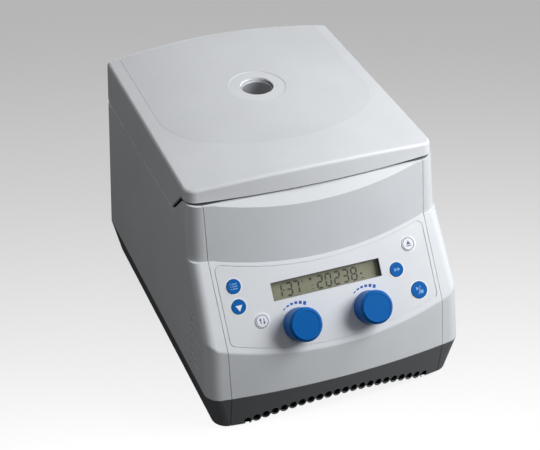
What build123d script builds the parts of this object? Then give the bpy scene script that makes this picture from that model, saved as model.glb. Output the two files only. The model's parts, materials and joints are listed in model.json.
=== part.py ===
from build123d import *
import math
import os

# Bench microcentrifuge. Millimetres, X to the right, Y to the back, Z up.
# The origin is on the bench under the middle of the machine.

# ---------------------------------------------------------------- casing form
depth = 313.6               # front bulge of the base seam to the lid's rear bulge
foot_stand = 3.0            # clear height under the base tray
base_seam_z = 37.5          # joint between the dark base and the white shells
seam_half_width = 120.0     # half the casing's width at the base seam
side_draft = 2.5            # degrees, sides lean in going up
front_lean = 9.4            # degrees, front walls lean back going up
front_bulge = 7.0           # how far the front bows out between the two front seams
corner_panel_width = 20.0   # from the side to the front cover's seams
front_corner_r = 14.0
rear_corner_r = 4.0
shell_wall = 2.6
seam_gap = 0.5              # visible joint between shells
panel_bottom_z = 82.0       # lower edge of the sloping control panel, at the seams
panel_length = 78.7         # along the slope, at the seams
panel_tilt = 54.2           # degrees above horizontal
panel_edge_r = 9.0          # rounding between the slope and the sides
crease_r = 3.5              # rounding of the crease below the control panel
shoulder_drop = 0.6         # small flat step where the slope ends at the corners
front_top_z = 194.3         # top of the front wall, under the lid's lip
scoop_z = 195.9             # where the finger scoop meets the line of the front wall
rail_height = 6.0           # ledge inside each side shell, which carries the deck
rail_width = 5.0
screw_post_r = 5.0          # posts that the base tray is screwed to
screw_post_height = 22.0
post_inset = 11.0           # post axis from the shell's outer side
post_places = (-118.0, 128.0)
lug_width = 9.0             # tab behind the rear panel's edge

# ------------------------------------------------------------------------ lid
lid_rear_bulge = 4.3
lid_front_y = -83.0         # lid's front edge at its corners
lid_front_bulge = 8.5
lid_corner_r = 11.0
lid_front_lean = 12.0       # degrees, its front leans back above the lip
lid_rear_corner_r = 4.0
lid_wall = 2.6
lid_edge_front_z = 206.0    # top of the lid at its side edges
lid_edge_rear_z = 213.6
lid_crown_front = 6.7       # rise of the lid's middle above its side edges
lid_crown_rear = 8.6
lid_edge_r = 3.0
field_half_width = 100.0    # raised field on the lid
field_middle_y = 32.0
field_reach = 75.0          # its curved front, measured from field_middle_y
field_rear_margin = 5.0
field_rise_rear = 0.2       # fades towards the front
field_rise_front = 0.02
lid_seam_rear_z = 172.9     # parting line of lid and casing, at the sides
lid_seam_front_z = 172.3
lid_seam_gap = 0.7
seam_ledge = 0.5            # step round the outer edge of the side shells' tops
notch_foot_y = -45.5        # where the parting line turns up towards the lip
notch_top_y = -69.4
notch_gap = 3.6
lip_bottom_z = 196.5
hinge_setback = 10.5        # hinge axis in front of the casing's rear face
hinge_z = 184.0
knuckle_r = 10.6            # rounded tail of the lid about the hinge
window_r = 15.2
window_dish_r = 26.2
window_dish_depth = 0.25
window_ring_drop = 1.3      # top of the window's ring, inside the lid's wall
lens_sink = 1.2             # lens face below the lid's top
lens_thickness = 3.0
window_neck_wall = 2.0

# ---------------------------------------------------------- rotor and chamber
rotor_y = 49.0
deck_z = 160.0
deck_thickness = 3.0
bowl_r = 86.0               # inside
bowl_wall = 1.5
bowl_floor_z = 87.5         # inside
bowl_flange_r = 95.0
bowl_floor_r = 12.0         # rounding between the bowl's wall and floor
gasket_width = 4.0
gasket_height = 3.7
gasket_edge = 1.2
gasket_inset = 2.0          # from the bowl's inner edge
pan_margin = 0.5            # lid's pan beyond the gasket
pan_wall = 2.2
ring_wall = 3.0
ring_bottom_z = 100.0
rotor_r = 80.0
rotor_bottom_z = 93.0
rotor_rim_z = 140.0
rotor_hub_r = 17.0
rotor_hub_z = 136.0
rotor_floor_r = 38.0        # foot of the bored cone
rotor_floor_z = 116.0
rotor_rim_width = 5.0
rotor_boss_r = 29.0         # flat underside
rotor_skirt_inset = 6.0
rotor_skirt_rise = 6.0
rotor_wall_rise = 14.0      # where the rotor's outer wall starts
rotor_lid_inset = 1.0       # rotor lid's edge inside the rotor's
rotor_lid_crown_r = 23.0
rotor_lid_boss_r = 13.0
tube_count = 24
tube_bore_r = 5.6
tube_tilt = 45.0
tube_bore_depth = 36.0
rotor_lid_thickness = 3.0
rotor_lid_rise = 5.0
rotor_knob_r = 13.0
rotor_knob_height = 10.0
rotor_screw_r = 4.0
rotor_screw_length = 14.0
rotor_screw_gap = 1.0       # screw in the rotor and its lid
rotor_screw_float = 2.0     # below the screw's tip
rotor_knob_flutes = 12
rotor_knob_flute_r = 2.0
rotor_knob_edge = 1.2
shaft_r = 6.0
shaft_bottom_z = 42.0
shaft_top_z = 118.0
shaft_end_gap = 1.0         # below the shaft, in the motor
shaft_edge = 1.0
running_gap = 0.05
motor_r = 42.0
motor_height = 46.0
motor_cap_r = 24.0
motor_cap_height = 5.0
motor_edge_r = 3.0
motor_groove_count = 5
motor_groove_pitch = 7.0
motor_groove_height = 3.0
motor_groove_depth = 1.5
boot_wall = 3.0
boot_r = 21.0
bowl_hole_r = 14.0
bracket_r = 58.0
bracket_thickness = 3.0
mount_r = 9.0
mount_height = 20.0
mount_circle_r = 48.0
mount_count = 3
mount_waist_r = 4.0
mount_waist_depth = 2.0

# ----------------------------------------------------------------------- base
tray_bottom_half_width = 112.5
tray_bottom_front_y = -145.0
tray_bottom_rear_y = 147.0
tray_wall = 3.0
tray_floor = 3.0
tray_floor_front_y = -136.0
vent_count = 22
vent_pitch = 8.1
vent_half_width = 3.1
vent_half_height = 3.8
vent_rim = 0.8
vent_sill = 1.1             # arched edge between the vents, below their middles
vent_wall = 1.6             # thin wall round the vents
vent_end_z = 6.2            # height of the outermost vent holes
vent_rise = 12.4            # how much higher the middle ones are
foot_r = 10.0
foot_sink = 1.5
foot_x = 92.0
foot_front_y = -112.0
foot_rear_y = 122.0
foot_edge_r = 1.0
grille_gap = 0.5            # between the front grille and the tray's floor

# ------------------------------------------------------------------ side vents
slot_count = 8
slot_pitch = 7.9
slot_height = 3.0
slot_low_z = 45.0
slot_rear_y = -98.0
slot_length_low = 24.0
slot_length_high = 9.5

# ------------------------------------------------------------- control panel
overlay_thickness = 0.8
overlay_margin_x = 4.0      # bare slope between the overlay and the front seams
overlay_margin_top = 4.3
overlay_margin_bottom = 5.0
overlay_corner_r = 5.0
overlay_gap = 0.7
controls_x = -1.0           # middle of the display and of the two knobs
display_width = 100.8
display_height = 15.8
display_s = 37.8            # its middle, down the slope from the slope's top
display_sink = 1.4          # lens face below the slope
lens_seat = 2.0
display_lens_thickness = 1.2
bezel_height = 3.4          # dark frame between the lens and the display
lcd_thickness = 2.8
knob_x = 32.6               # from the middle of the two
knob_s = 69.4
knob_r = 14.6
knob_height = 18.5
knob_float = 0.6
knob_bevel_width = 2.0
knob_bevel_height = 2.2
knob_dish_rim = 0.7
knob_dish_depth = 0.35
knob_notch_count = 8
knob_notch_r = 0.7
knob_bore_depth = 8.0
encoder_shaft_r = 3.0
encoder_size = 12.4
encoder_height = 6.5
encoder_floor = 1.5
encoder_shaft_float = 0.5
bushing_wall = 2.0
bushing_height = 2.5
encoder_hole_gap = 1.0
board_depth = 15.0          # top of the control board below the slope
board_thickness = 1.6
board_half_width = 92.0
board_top_s = 14.0
board_bottom_s = 84.0
board_boss_r = 3.5
boss_inset = 6.0            # board screws from the board's side edges
boss_drop = 6.0             # lower screws above the board's lower end
screw_bite = 1.0            # screw holes end this far short of what shows
button_r = 6.2
start_button_r = 7.4
button_stand = 0.9
button_edge = 0.25
button_gap = 0.25
button_travel = 0.8
button_flange = 1.4
button_flange_thickness = 1.2
button_stem_r = 2.5
switch_size = 6.2
switch_height = 4.0
switch_gap = 0.3            # stem above its switch when fully pressed
button_places = {           # x, distance down the slope, radius
    "button_mode": (-83.2, 25.6, button_r),
    "button_down": (-82.5, 43.1, button_r),
    "button_unit": (-65.3, 59.4, button_r),
    "button_lid": (79.3, 23.8, button_r),
    "button_short": (63.6, 43.3, button_r),
    "button_start": (80.4, 65.2, start_button_r),
}

# ---------------------------------------------------------------- lid latch
striker_y = -57.5
striker_width = 24.0
striker_thickness = 2.5
striker_bottom_z = 140.0
striker_window_width = 14.0
striker_window_height = 9.0
striker_window_z = 149.0
striker_slot_front = 5.5    # room for the striker to swing forward
striker_slot_gap = 2.0
bolt_edge = 1.0
housing_setback = 1.0       # latch housing behind the bolt's tip
coil_edge_r = 2.0
bolt_width = 10.0
bolt_height = 5.0
bolt_length = 26.0
bolt_gap = 0.3
bolt_rest_gap = 6.5         # bolt tip ahead of the striker when unlocked
latch_wall = 4.0
latch_length = 18.0
solenoid_height = 14.0

# -------------------------------------------------------------------- hinge
pin_r = 3.0
pin_gap = 0.05
tower_x = 75.0
tower_width = 10.0
tower_length = 12.0
tower_eye_r = 6.5
ear_width = 7.0
ear_gap = 0.5
ear_eye_r = 6.5
ear_foot_y = 100.0
ear_slot_gap = 0.6
tower_slot_rise = 7.0
tower_foot_reach = 14.0     # tower's foot in front of the hinge axis
tower_foot_height = 4.0
tower_bolt_drop = 10.5      # tower's screw in front of the hinge axis
tail_rib_thickness = 1.7    # upright rib on the deck, under the lid's rolled tail
tail_rib_gap = 0.5
tail_rib_end = 6.0          # its ends from the casing's inner sides
liner_rear_y = 127.0
liner_thickness = 2.5
liner_gap = 0.3
liner_lift = 1.5            # liner above the parting line
liner_step = 1.5            # liner's slope at the notch, ahead of the lid's
lens_rim = 1.5              # ledge that the window's lens lies on
lens_edge = 0.6

# --------------------------------------------------------------- rear panel
inlet_x = 62.0
inlet_z = 72.0
inlet_width = 48.0
inlet_height = 30.0
inlet_flange = 2.0
inlet_lap_x = 4.0           # flange beyond the cut-out in the rear panel
inlet_lap_z = 2.0
inlet_corner_r = 2.0
inlet_depth = 26.0
inlet_well_width = 24.0
inlet_well_height = 16.5
inlet_well_depth = 16.0
inlet_well_rise = 3.75
inlet_well_chamfer = 4.0
inlet_pin_length = 12.0
inlet_pin_width = 2.0
inlet_pin_height = 4.0
inlet_pin_places = ((-7.0, -2.5), (7.0, -2.5), (0.0, 2.5))
fuse_height = 8.0
fuse_drop = 8.5             # its middle below the inlet's
fuse_notch_width = 6.0
fuse_notch_height = 2.5
fuse_notch_depth = 1.0
fuse_width = 22.0
fuse_length = 18.0
switch_x = 12.0
rocker_width = 13.0
rocker_height = 19.0
rocker_frame = 3.0
rocker_depth = 20.0
rocker_gap = 0.35
rocker_angle = 8.0
rocker_pin_sink = 5.5       # rocker's pin behind the rear panel's face
rocker_stand = 6.5          # rocker's face beyond its pin
rocker_hollow = 1.6         # its face is hollow in the middle
rocker_nose = 3.2           # its back reaches this far behind the pin
rocker_taper = 0.4
rocker_end = 0.85
rocker_floor = 1.5
rocker_pin_r = 1.5
rocker_pin_seat = 1.0
rear_slot_count = 7
rear_slot_width = 60.0
rear_slot_height = 3.0
rear_slot_pitch = 8.0
rear_slot_x = -55.0
rear_slot_z = 100.0
screw_r = 1.75
screw_head_r = 3.4
screw_head_height = 2.0
screw_head_edge_r = 0.8
screw_length = 9.0

# --------------------------------------------------------------- electronics
drive_board_x = 84.0
drive_board_setback = 21.8  # board's front edge behind the base's front
drive_board_length = 66.0
drive_board_z = 14.0
sink_length = 60.0
sink_width = 22.0
sink_height = 30.0
sink_x = -46.0
sink_setback = 59.8         # its middle behind the base's front
sink_fins = 6
sink_base = 3.0
fin_thickness = 1.4
cap_count = 3
cap_first_x = 20.0
cap_gap = 4.0
cap_edge_r = 1.0
cap_r = 9.0
cap_height = 26.0
choke_r = 11.0
choke_section_r = 4.2       # of its wound ring
choke_margin = 3.0          # from the board's rear edge
standoff_r = 3.0
standoff_inset = 5.0
ribbon_s = 62.0
ribbon_width = 26.0
ribbon_thickness = 0.9
ribbon_stub = 10.0          # straight run out of the control board
ribbon_shift = 16.0
ribbon_drop = 20.0
ribbon_bend_r = 6.0
rear_screw_places = [(x, z) for x in (-95.0, 95.0) for z in (50.0, 98.0, 146.0)]
rear_top_drop = 3.4         # rear panel below the parting line, for the lid's swing
contact_gap = 0.3           # free space beside pieces that only sit by each other

# ---------------------------------------------------------------- derived sizes
front_seam_x = seam_half_width - corner_panel_width
front_radius = (front_seam_x ** 2 + front_bulge ** 2) / (2 * front_bulge)
lean = math.tan(math.radians(front_lean))
draft = math.tan(math.radians(side_draft))
tilt_cos = math.cos(math.radians(panel_tilt))
tilt_sin = math.sin(math.radians(panel_tilt))
base_front_y = -depth / 2 + front_bulge
body_rear_y = depth / 2 - lid_rear_bulge
hinge_y = body_rear_y - hinge_setback
panel_bottom_y = base_front_y + (panel_bottom_z - base_seam_z) * lean
panel_top_y = panel_bottom_y + panel_length * tilt_cos
panel_top_z = panel_bottom_z + panel_length * tilt_sin
pan_z = deck_z + bowl_wall + gasket_height + contact_gap
pan_r = bowl_r + gasket_inset + gasket_width + pan_margin
crease_bow = front_bulge / (tilt_cos - lean * tilt_sin)     # bow of the creases, down the slope
boss_places = [(x, s) for x in (boss_inset - board_half_width, board_half_width - boss_inset)
               for s in (board_top_s, board_bottom_s - boss_drop)]
foot_places = [(x, y) for x in (-foot_x, foot_x) for y in (foot_front_y, foot_rear_y)]
floor_z = foot_stand + tray_floor
drive_board_y0 = base_front_y + drive_board_setback
drive_board_y1 = drive_board_y0 + drive_board_length
sink_y = base_front_y + sink_setback
mount_top_z = floor_z + mount_height
motor_base_z = mount_top_z + bracket_thickness
motor_top_z = motor_base_z + motor_height
rotor_hole_r = rotor_screw_r + rotor_screw_gap
tower_bolt_y = hinge_y - tower_bolt_drop
bolt_tip_y = striker_y - striker_thickness / 2 - bolt_rest_gap
latch_rear_y = bolt_tip_y - housing_setback
latch_front_y = latch_rear_y - latch_length
latch_half_width = bolt_width / 2 + latch_wall
latch_low_z = striker_window_z - bolt_height / 2 - latch_wall
standoff_places = [(x, y) for x in (standoff_inset - drive_board_x, drive_board_x - standoff_inset)
                   for y in (drive_board_y0 + standoff_inset, drive_board_y1 - standoff_inset)]
board_top_z = drive_board_z + board_thickness
rocker_pin_y = body_rear_y - rocker_pin_sink
thread_r = screw_r - contact_gap / 2
lcd_top = -display_sink - display_lens_thickness - bezel_height     # height over the slope
casing_screw_z = base_seam_z - contact_gap - screw_length + screw_head_height   # under these screws' heads
knob_places = (controls_x - knob_x, controls_x + knob_x)
reach = 2 * depth           # longer than anything it cuts
past = 20.0                 # how far a cutting shape runs past what it cuts
skin = 0.03                 # keeps two cutting faces from lying in one plane

panel = Plane(origin=(0, panel_top_y, panel_top_z), x_dir=(1, 0, 0), z_dir=(0, -tilt_sin, tilt_cos))


def on_panel(x, s, h=0.0):
    """A place on the control slope: x, distance down the slope, height above it."""
    return panel * Pos(x, -s, h)


def half_width(z):
    return seam_half_width - (z - base_seam_z) * draft


def outline(z, half, y_front, y_rear, inset, front_r, rear_r):
    """Plan outline of the casing at height z, with a bowed front."""
    hw = half - inset
    centre_y = y_front - front_bulge + front_radius
    radius = front_radius - inset
    side_y = centre_y - math.sqrt(radius ** 2 - hw ** 2)
    rear = y_rear - inset
    front = ThreePointArc((-hw, side_y), (0, centre_y - radius), (hw, side_y))
    sides = Polyline((hw, side_y), (hw, rear), (-hw, rear), (-hw, side_y))
    face = make_face(Curve() + [front, sides])
    corners = face.vertices().sort_by(Axis.Y)
    face = fillet(corners[:2], front_r - inset)
    corners = face.vertices().filter_by(lambda v: abs(v.Y - rear) < 0.01 and abs(abs(v.X) - hw) < 0.01)
    face = fillet(corners, rear_r - inset)
    return Pos(0, 0, z) * face


def upper_front_y(z):
    return panel_top_y + (z - panel_top_z) * lean


def lower_front_y(z):
    return panel_bottom_y + (z - panel_bottom_z) * lean


def block(z0, z1, front_y, inset):
    """Part of the casing between two heights, its walls leaning as the casing's do."""
    faces = [outline(z, half_width(z), front_y(z), body_rear_y, inset, front_corner_r, rear_corner_r)
             for z in (z0, z1)]
    return loft(faces, ruled=True)


def slope_wedge(inset):
    """Everything behind the control slope and between the sides, with its long edges rounded."""
    low = -depth
    high = depth
    trim = inset - skin
    slab = Plane.XZ * Polygon(
        (-half_width(low) + trim, low), (half_width(low) - trim, low),
        (half_width(high) - trim, high), (-half_width(high) + trim, high), align=None)
    slab = extrude(slab, reach, both=True)
    behind = panel * Pos(0, 0, -inset - depth) * Box(reach, reach, 2 * depth)
    wedge = slab & behind
    edges = [e for e in wedge.edges()
             if abs(panel.to_local_coords(e.center()).Z + inset) < skin
             and abs(e.tangent_at(0.5).X) < 0.5]
    return fillet(edges, panel_edge_r - inset)


def casing(inset, z_low, z_high):
    lower = block(z_low, panel_top_z - shoulder_drop, lower_front_y, inset) & slope_wedge(inset)
    upper = block(panel_bottom_z, z_high, upper_front_y, inset)
    return lower + upper


def seam_z(y):
    rise = (lid_seam_rear_z - lid_seam_front_z) / (body_rear_y - notch_foot_y)
    return lid_seam_front_z + (y - notch_foot_y) * rise


def parting(shift_y, drop, lip_z):
    """Side view of the space above the parting line, as a solid across the whole width."""
    top = 2 * front_top_z
    foot_y = notch_foot_y + shift_y
    points = [(depth, seam_z(depth) - drop), (foot_y, seam_z(foot_y) - drop),
              (notch_top_y + shift_y, lip_z), (-depth, lip_z), (-depth, top), (depth, top)]
    face = Plane.YZ * Polygon(*points, align=None)
    return extrude(face, reach, both=True)


def slab_x(x0, x1):
    return Pos((x0 + x1) / 2, 0, 0) * Box(x1 - x0, reach, reach)


def slab_y(y0, y1):
    return Pos(0, (y0 + y1) / 2, 0) * Box(reach, y1 - y0, reach)


def slab_z(z0, z1):
    return Pos(0, 0, (z0 + z1) / 2) * Box(reach, reach, z1 - z0)


def cylinder(x, y, z0, z1, r):
    return Pos(x, y, (z0 + z1) / 2) * Cylinder(r, z1 - z0)


def tube(x, y, z0, z1, r_in, r_out):
    return cylinder(x, y, z0, z1, r_out) - cylinder(x, y, z0 - 1, z1 + 1, r_in)


def brick(x0, x1, y0, y1, z0, z1):
    return Pos((x0 + x1) / 2, (y0 + y1) / 2, (z0 + z1) / 2) * Box(x1 - x0, y1 - y0, z1 - z0)


def cross_rod(x0, x1, y, z, r):
    return Pos((x0 + x1) / 2, y, z) * Rot(0, 90, 0) * Cylinder(r, x1 - x0)


# ------------------------------------------------------------- white shells
def shell():
    outer = casing(0, base_seam_z, front_top_z)
    crease = [e for e in outer.edges()
              if abs(panel.to_local_coords(e.center()).Z) < 2 * skin
              and e.center().Y < panel_bottom_y + shell_wall and e.center().Z < panel_bottom_z + shell_wall]
    outer = fillet(crease, crease_r)
    inner = casing(shell_wall, base_seam_z - past, front_top_z + past)
    walls = outer - inner
    return walls - parting(-notch_gap, lid_seam_gap, front_top_z)


def above_scoop(half, inset=0.0):
    """Space above the finger scoop, which has the slope's angle."""
    corner_y = upper_front_y(scoop_z)
    plane = Plane(origin=(0, corner_y, scoop_z), x_dir=(1, 0, 0), z_dir=(0, -tilt_sin, tilt_cos))
    return plane * Pos(0, 0, depth / 2 - inset) * Box(2 * half, depth, depth)


def side_vents(side):
    slots = Part()
    for i in range(slot_count):
        z = slot_low_z + i * slot_pitch
        length = slot_length_low + (slot_length_high - slot_length_low) * i / (slot_count - 1)
        profile = Plane.YZ * Pos(slot_rear_y - length / 2, z) * SlotOverall(length, slot_height)
        slots += extrude(profile, side * seam_half_width * 2)
    return slots


def side_shell(side, walls):
    x0 = front_seam_x + seam_gap / 2
    piece = walls & slab_x(*sorted((side * x0, side * reach / 2)))
    cavity = casing(shell_wall - skin, base_seam_z - past, front_top_z + past)
    rail_x = half_width(deck_z) - shell_wall - rail_width
    lug_y = body_rear_y - shell_wall
    lug_x = front_seam_x - lug_width
    lug = brick(*sorted((side * lug_x, side * seam_half_width)), lug_y - shell_wall, lug_y,
                base_seam_z + shell_wall, deck_z - deck_thickness - contact_gap)
    rail = brick(*sorted((side * rail_x, side * seam_half_width)), notch_foot_y, lug_y - rear_corner_r,
                 deck_z - deck_thickness - rail_height, deck_z - deck_thickness)
    piece += rail & cavity
    piece += lug & cavity
    piece -= rear_screw_holes()
    for y in post_places:
        x = side * (seam_half_width - post_inset)
        post = cylinder(x, y, base_seam_z, base_seam_z + screw_post_height, screw_post_r)
        web = brick(*sorted((x, side * seam_half_width)), y - shell_wall / 2, y + shell_wall / 2,
                    base_seam_z, base_seam_z + screw_post_height)
        piece += (post + web) & cavity
        piece -= cylinder(x, y, base_seam_z - past, base_seam_z + screw_length, screw_r)
    ledge = parting(-notch_gap, lid_seam_gap + seam_ledge, front_top_z)
    ledge -= casing(seam_ledge, base_seam_z - past, front_top_z + past)
    return piece - ledge - side_vents(side)


def overlay_face(grow):
    """Outline of the control foil, in the slope's own plane; its long edges follow the creases."""
    half = front_seam_x - overlay_margin_x + grow
    top = -(overlay_margin_top - grow)
    bottom = -(panel_length - overlay_margin_bottom + grow)
    edges = Curve() + [
        ThreePointArc((-half, top), (0, top - crease_bow), (half, top)),
        Line((half, top), (half, bottom)),
        ThreePointArc((half, bottom), (0, bottom - crease_bow), (-half, bottom)),
        Line((-half, bottom), (-half, top))]
    face = make_face(edges)
    return fillet(face.vertices(), overlay_corner_r + grow)


def on_slope(shape, x, s, h=0.0):
    return on_panel(x, s, h) * shape


def slope_box(width, length, h0, h1):
    return Pos(0, 0, (h0 + h1) / 2) * Box(width, length, h1 - h0)


def slope_rod(r, h0, h1):
    return Pos(0, 0, (h0 + h1) / 2) * Cylinder(r, h1 - h0)


def rear_screw_holes():
    holes = Part()
    for x, z in rear_screw_places:
        holes += Pos(x, body_rear_y, z) * Rot(90, 0, 0) * Cylinder(screw_r, 4 * screw_length)
    return holes


def through(shape_r, x, s):
    """Round hole through whatever lies at a place on the slope."""
    return on_slope(slope_rod(shape_r, -past, past), x, s)


def panel_holes(grow):
    """Holes for the display, the knob shafts and the buttons."""
    holes = on_slope(slope_box(display_width, display_height, -past, past), controls_x, display_s)
    for x in knob_places:
        holes += through(encoder_shaft_r + encoder_hole_gap, x, knob_s)
    for x, s, r in button_places.values():
        holes += through(r + grow, x, s)
    return holes


def front_cover(walls):
    half = front_seam_x - seam_gap / 2
    piece = walls & slab_x(-half, half) & slab_y(-depth, notch_foot_y)
    behind = casing(0, base_seam_z, front_top_z) & slab_x(-half, half) & slab_y(-depth, notch_top_y)
    floor = (above_scoop(half, shell_wall) - above_scoop(half + past)) & behind
    piece = piece - above_scoop(half) + floor
    piece -= panel * Pos(0, 0, -overlay_thickness) * extrude(overlay_face(overlay_gap), past)
    # seat of the display window, with a frame under it
    seat_width = display_width + 2 * lens_seat
    seat_height = display_height + 2 * lens_seat
    frame = slope_box(seat_width + 2 * shell_wall, seat_height + 2 * shell_wall,
                      lcd_top - lcd_thickness, -shell_wall / 2)
    piece += on_slope(frame, controls_x, display_s)
    piece -= panel_holes(button_gap)
    piece -= on_slope(slope_box(seat_width, seat_height, -past, -display_sink), controls_x, display_s)
    for x, s in boss_places:
        piece += on_slope(slope_rod(board_boss_r, -board_depth, -shell_wall / 2), x, s)
        piece -= on_slope(slope_rod(screw_r, -past, -shell_wall - screw_bite), x, s)
    return piece


def control_overlay():
    foil = panel * Pos(0, 0, -overlay_thickness) * extrude(overlay_face(0), overlay_thickness)
    return foil - panel_holes(button_gap)


def display_plate(h0, h1):
    """Plate that fills the seat of the display window."""
    grow = 2 * lens_seat - contact_gap
    return slope_box(display_width + grow, display_height + grow, h0, h1)


def display_lens():
    plate = display_plate(-display_sink - display_lens_thickness, -display_sink)
    return on_slope(plate, controls_x, display_s)


def display_bezel():
    plate = display_plate(lcd_top, lcd_top + bezel_height)
    ring = plate - slope_box(display_width, display_height, -past, past)
    return on_slope(ring, controls_x, display_s)


def display_module():
    low = lcd_top - lcd_thickness
    backlight = slope_box(display_width - 2 * lens_seat, display_height, -board_depth, low)
    return on_slope(display_plate(low, lcd_top) + backlight, controls_x, display_s)


def control_board():
    middle_s = (board_top_s + board_bottom_s) / 2
    length = board_bottom_s - board_top_s + 2 * board_boss_r
    plate = slope_box(2 * board_half_width, length, -board_depth - board_thickness, -board_depth)
    board = on_slope(plate, 0, middle_s)
    for x, s in boss_places:
        board -= through(screw_r, x, s)
    return board


def board_screws():
    screws = Part()
    under = -board_depth - board_thickness
    for x, s in boss_places:
        head = slope_rod(screw_head_r, under - screw_head_height, under)
        thread = slope_rod(thread_r, under, under + screw_length)
        screws += on_slope(head + thread, x, s)
    return screws


def button_switches():
    switches = Part()
    switch = slope_box(switch_size, switch_size, -board_depth, switch_height - board_depth)
    for x, s, r in button_places.values():
        switches += on_slope(switch, x, s)
    return switches


def button(x, s, r):
    """Cap with a flange that stops it under the cover, and a stem over its switch."""
    under = -shell_wall
    flange_low = under - contact_gap - button_flange_thickness
    cap = slope_rod(r, under - contact_gap, button_stand)
    cap = chamfer(cap.edges().group_by(Axis.Z)[-1], button_edge)
    flange = slope_rod(r + button_flange, flange_low, under - contact_gap)
    stem_end = -board_depth + switch_height + button_travel + switch_gap
    stem = slope_rod(button_stem_r, stem_end, flange_low)
    return on_slope(cap + flange + stem, x, s)


def encoders():
    bodies = Part()
    top = -board_depth + encoder_height
    body = slope_box(encoder_size, encoder_size, -board_depth, top)
    bushing = slope_rod(encoder_shaft_r + bushing_wall, top, top + bushing_height)
    bore = slope_rod(encoder_shaft_r + running_gap, -board_depth + encoder_floor, past)
    for x in knob_places:
        bodies += on_slope(body + bushing - bore, x, knob_s)
    return bodies


def encoder_shaft(x):
    low = -board_depth + encoder_floor + encoder_shaft_float
    return on_slope(slope_rod(encoder_shaft_r, low, knob_float + knob_bore_depth), x, knob_s)


def knob(x):
    """Round knob with a wide bevel, small notches at the bevel's inner edge and a shallow dish on top."""
    top = knob_float + knob_height
    face_r = knob_r - knob_bevel_width
    body = slope_rod(knob_r, knob_float, top - knob_bevel_height)
    body += Pos(0, 0, top - knob_bevel_height / 2) * Cone(knob_r, face_r, knob_bevel_height)
    body -= slope_rod(face_r - knob_dish_rim, top - knob_dish_depth, top + past)
    body -= slope_rod(encoder_shaft_r, -past, knob_float + knob_bore_depth)
    notch = Pos(face_r + knob_notch_r / 2, 0, top) * Sphere(knob_notch_r)
    for i in range(knob_notch_count):
        body -= Rot(0, 0, 360 / knob_notch_count * i) * notch
    return on_slope(body, x, knob_s)


# ------------------------------------------------------------------ dark base
def tray_form(inset):
    bottom_z = foot_stand
    low = outline(bottom_z, tray_bottom_half_width, tray_bottom_front_y, tray_bottom_rear_y, inset,
                  front_corner_r, rear_corner_r)
    top_z = base_seam_z - seam_gap
    high = outline(top_z, seam_half_width, base_front_y, body_rear_y, inset, front_corner_r, rear_corner_r)
    return loft([low, high], ruled=True)


def vent_middle(i):
    x = (i - (vent_count - 1) / 2) * vent_pitch
    end_x = (vent_count - 1) / 2 * vent_pitch
    radius = (end_x ** 2 + vent_rise ** 2) / (2 * vent_rise)
    return x, vent_end_z + vent_rise - (radius - math.sqrt(radius ** 2 - x ** 2))


def vent_hole(x, z, grow):
    """Oval that looks round on the undercut front, through the front of the base."""
    oval = Plane.XZ * Pos(x, z) * Ellipse(vent_half_width + grow, vent_half_height + grow)
    return Pos(0, base_front_y, 0) * extrude(oval, past, both=True)


def front_region(grow):
    """The part of the base that the front grille takes."""
    half = front_seam_x - seam_gap / 2 + grow
    return slab_x(-half, half) & slab_y(-depth, tray_floor_front_y - grille_gap + grow)


def base_tray():
    hollow = tray_form(tray_wall) & slab_z(floor_z, depth)
    tray = tray_form(0) - hollow - front_region(seam_gap)
    for side in (-1, 1):
        for y in post_places:
            x = side * (seam_half_width - post_inset)
            tray += cylinder(x, y, foot_stand, base_seam_z - contact_gap, screw_post_r) & tray_form(0)
            tray -= cylinder(x, y, -past, depth, screw_r)
            tray -= cylinder(x, y, -past, casing_screw_z, screw_head_r + contact_gap)
    for x, y in foot_places:
        tray -= cylinder(x, y, -past, foot_stand + foot_sink, foot_r)
    return tray


def front_grille():
    """Front wall of the base: an arched lower edge with a row of round vents along it."""
    front = (tray_form(0) - tray_form(vent_wall)) & front_region(0)
    edge_x = vent_middle(vent_count - 1)[0] + vent_pitch / 2
    arch_foot = foot_stand - skin
    arch = make_face(Curve() + [
        ThreePointArc((-edge_x, arch_foot), (0, vent_end_z + vent_rise - vent_sill), (edge_x, arch_foot)),
        Line((edge_x, arch_foot), (-edge_x, arch_foot))])
    opening = Pos(0, base_front_y, 0) * extrude(Plane.XZ * arch, past, both=True)
    rims = Part()
    holes = Part()
    for i in range(vent_count):
        x, z = vent_middle(i)
        rims += vent_hole(x, z, vent_rim)
        holes += vent_hole(x, z, 0)
    return front - (opening - rims) - holes


def rubber_feet():
    feet = Part()
    for x, y in foot_places:
        foot = cylinder(x, y, 0, foot_stand + foot_sink, foot_r)
        feet += fillet(foot.edges().group_by(Axis.Z)[0], foot_edge_r)
    return feet


def casing_screws():
    screws = Part()
    for side in (-1, 1):
        for y in post_places:
            x = side * (seam_half_width - post_inset)
            screws += cylinder(x, y, casing_screw_z - screw_head_height, casing_screw_z, screw_head_r)
            screws += cylinder(x, y, casing_screw_z, base_seam_z + screw_length - screw_head_height, thread_r)
    return screws


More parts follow.
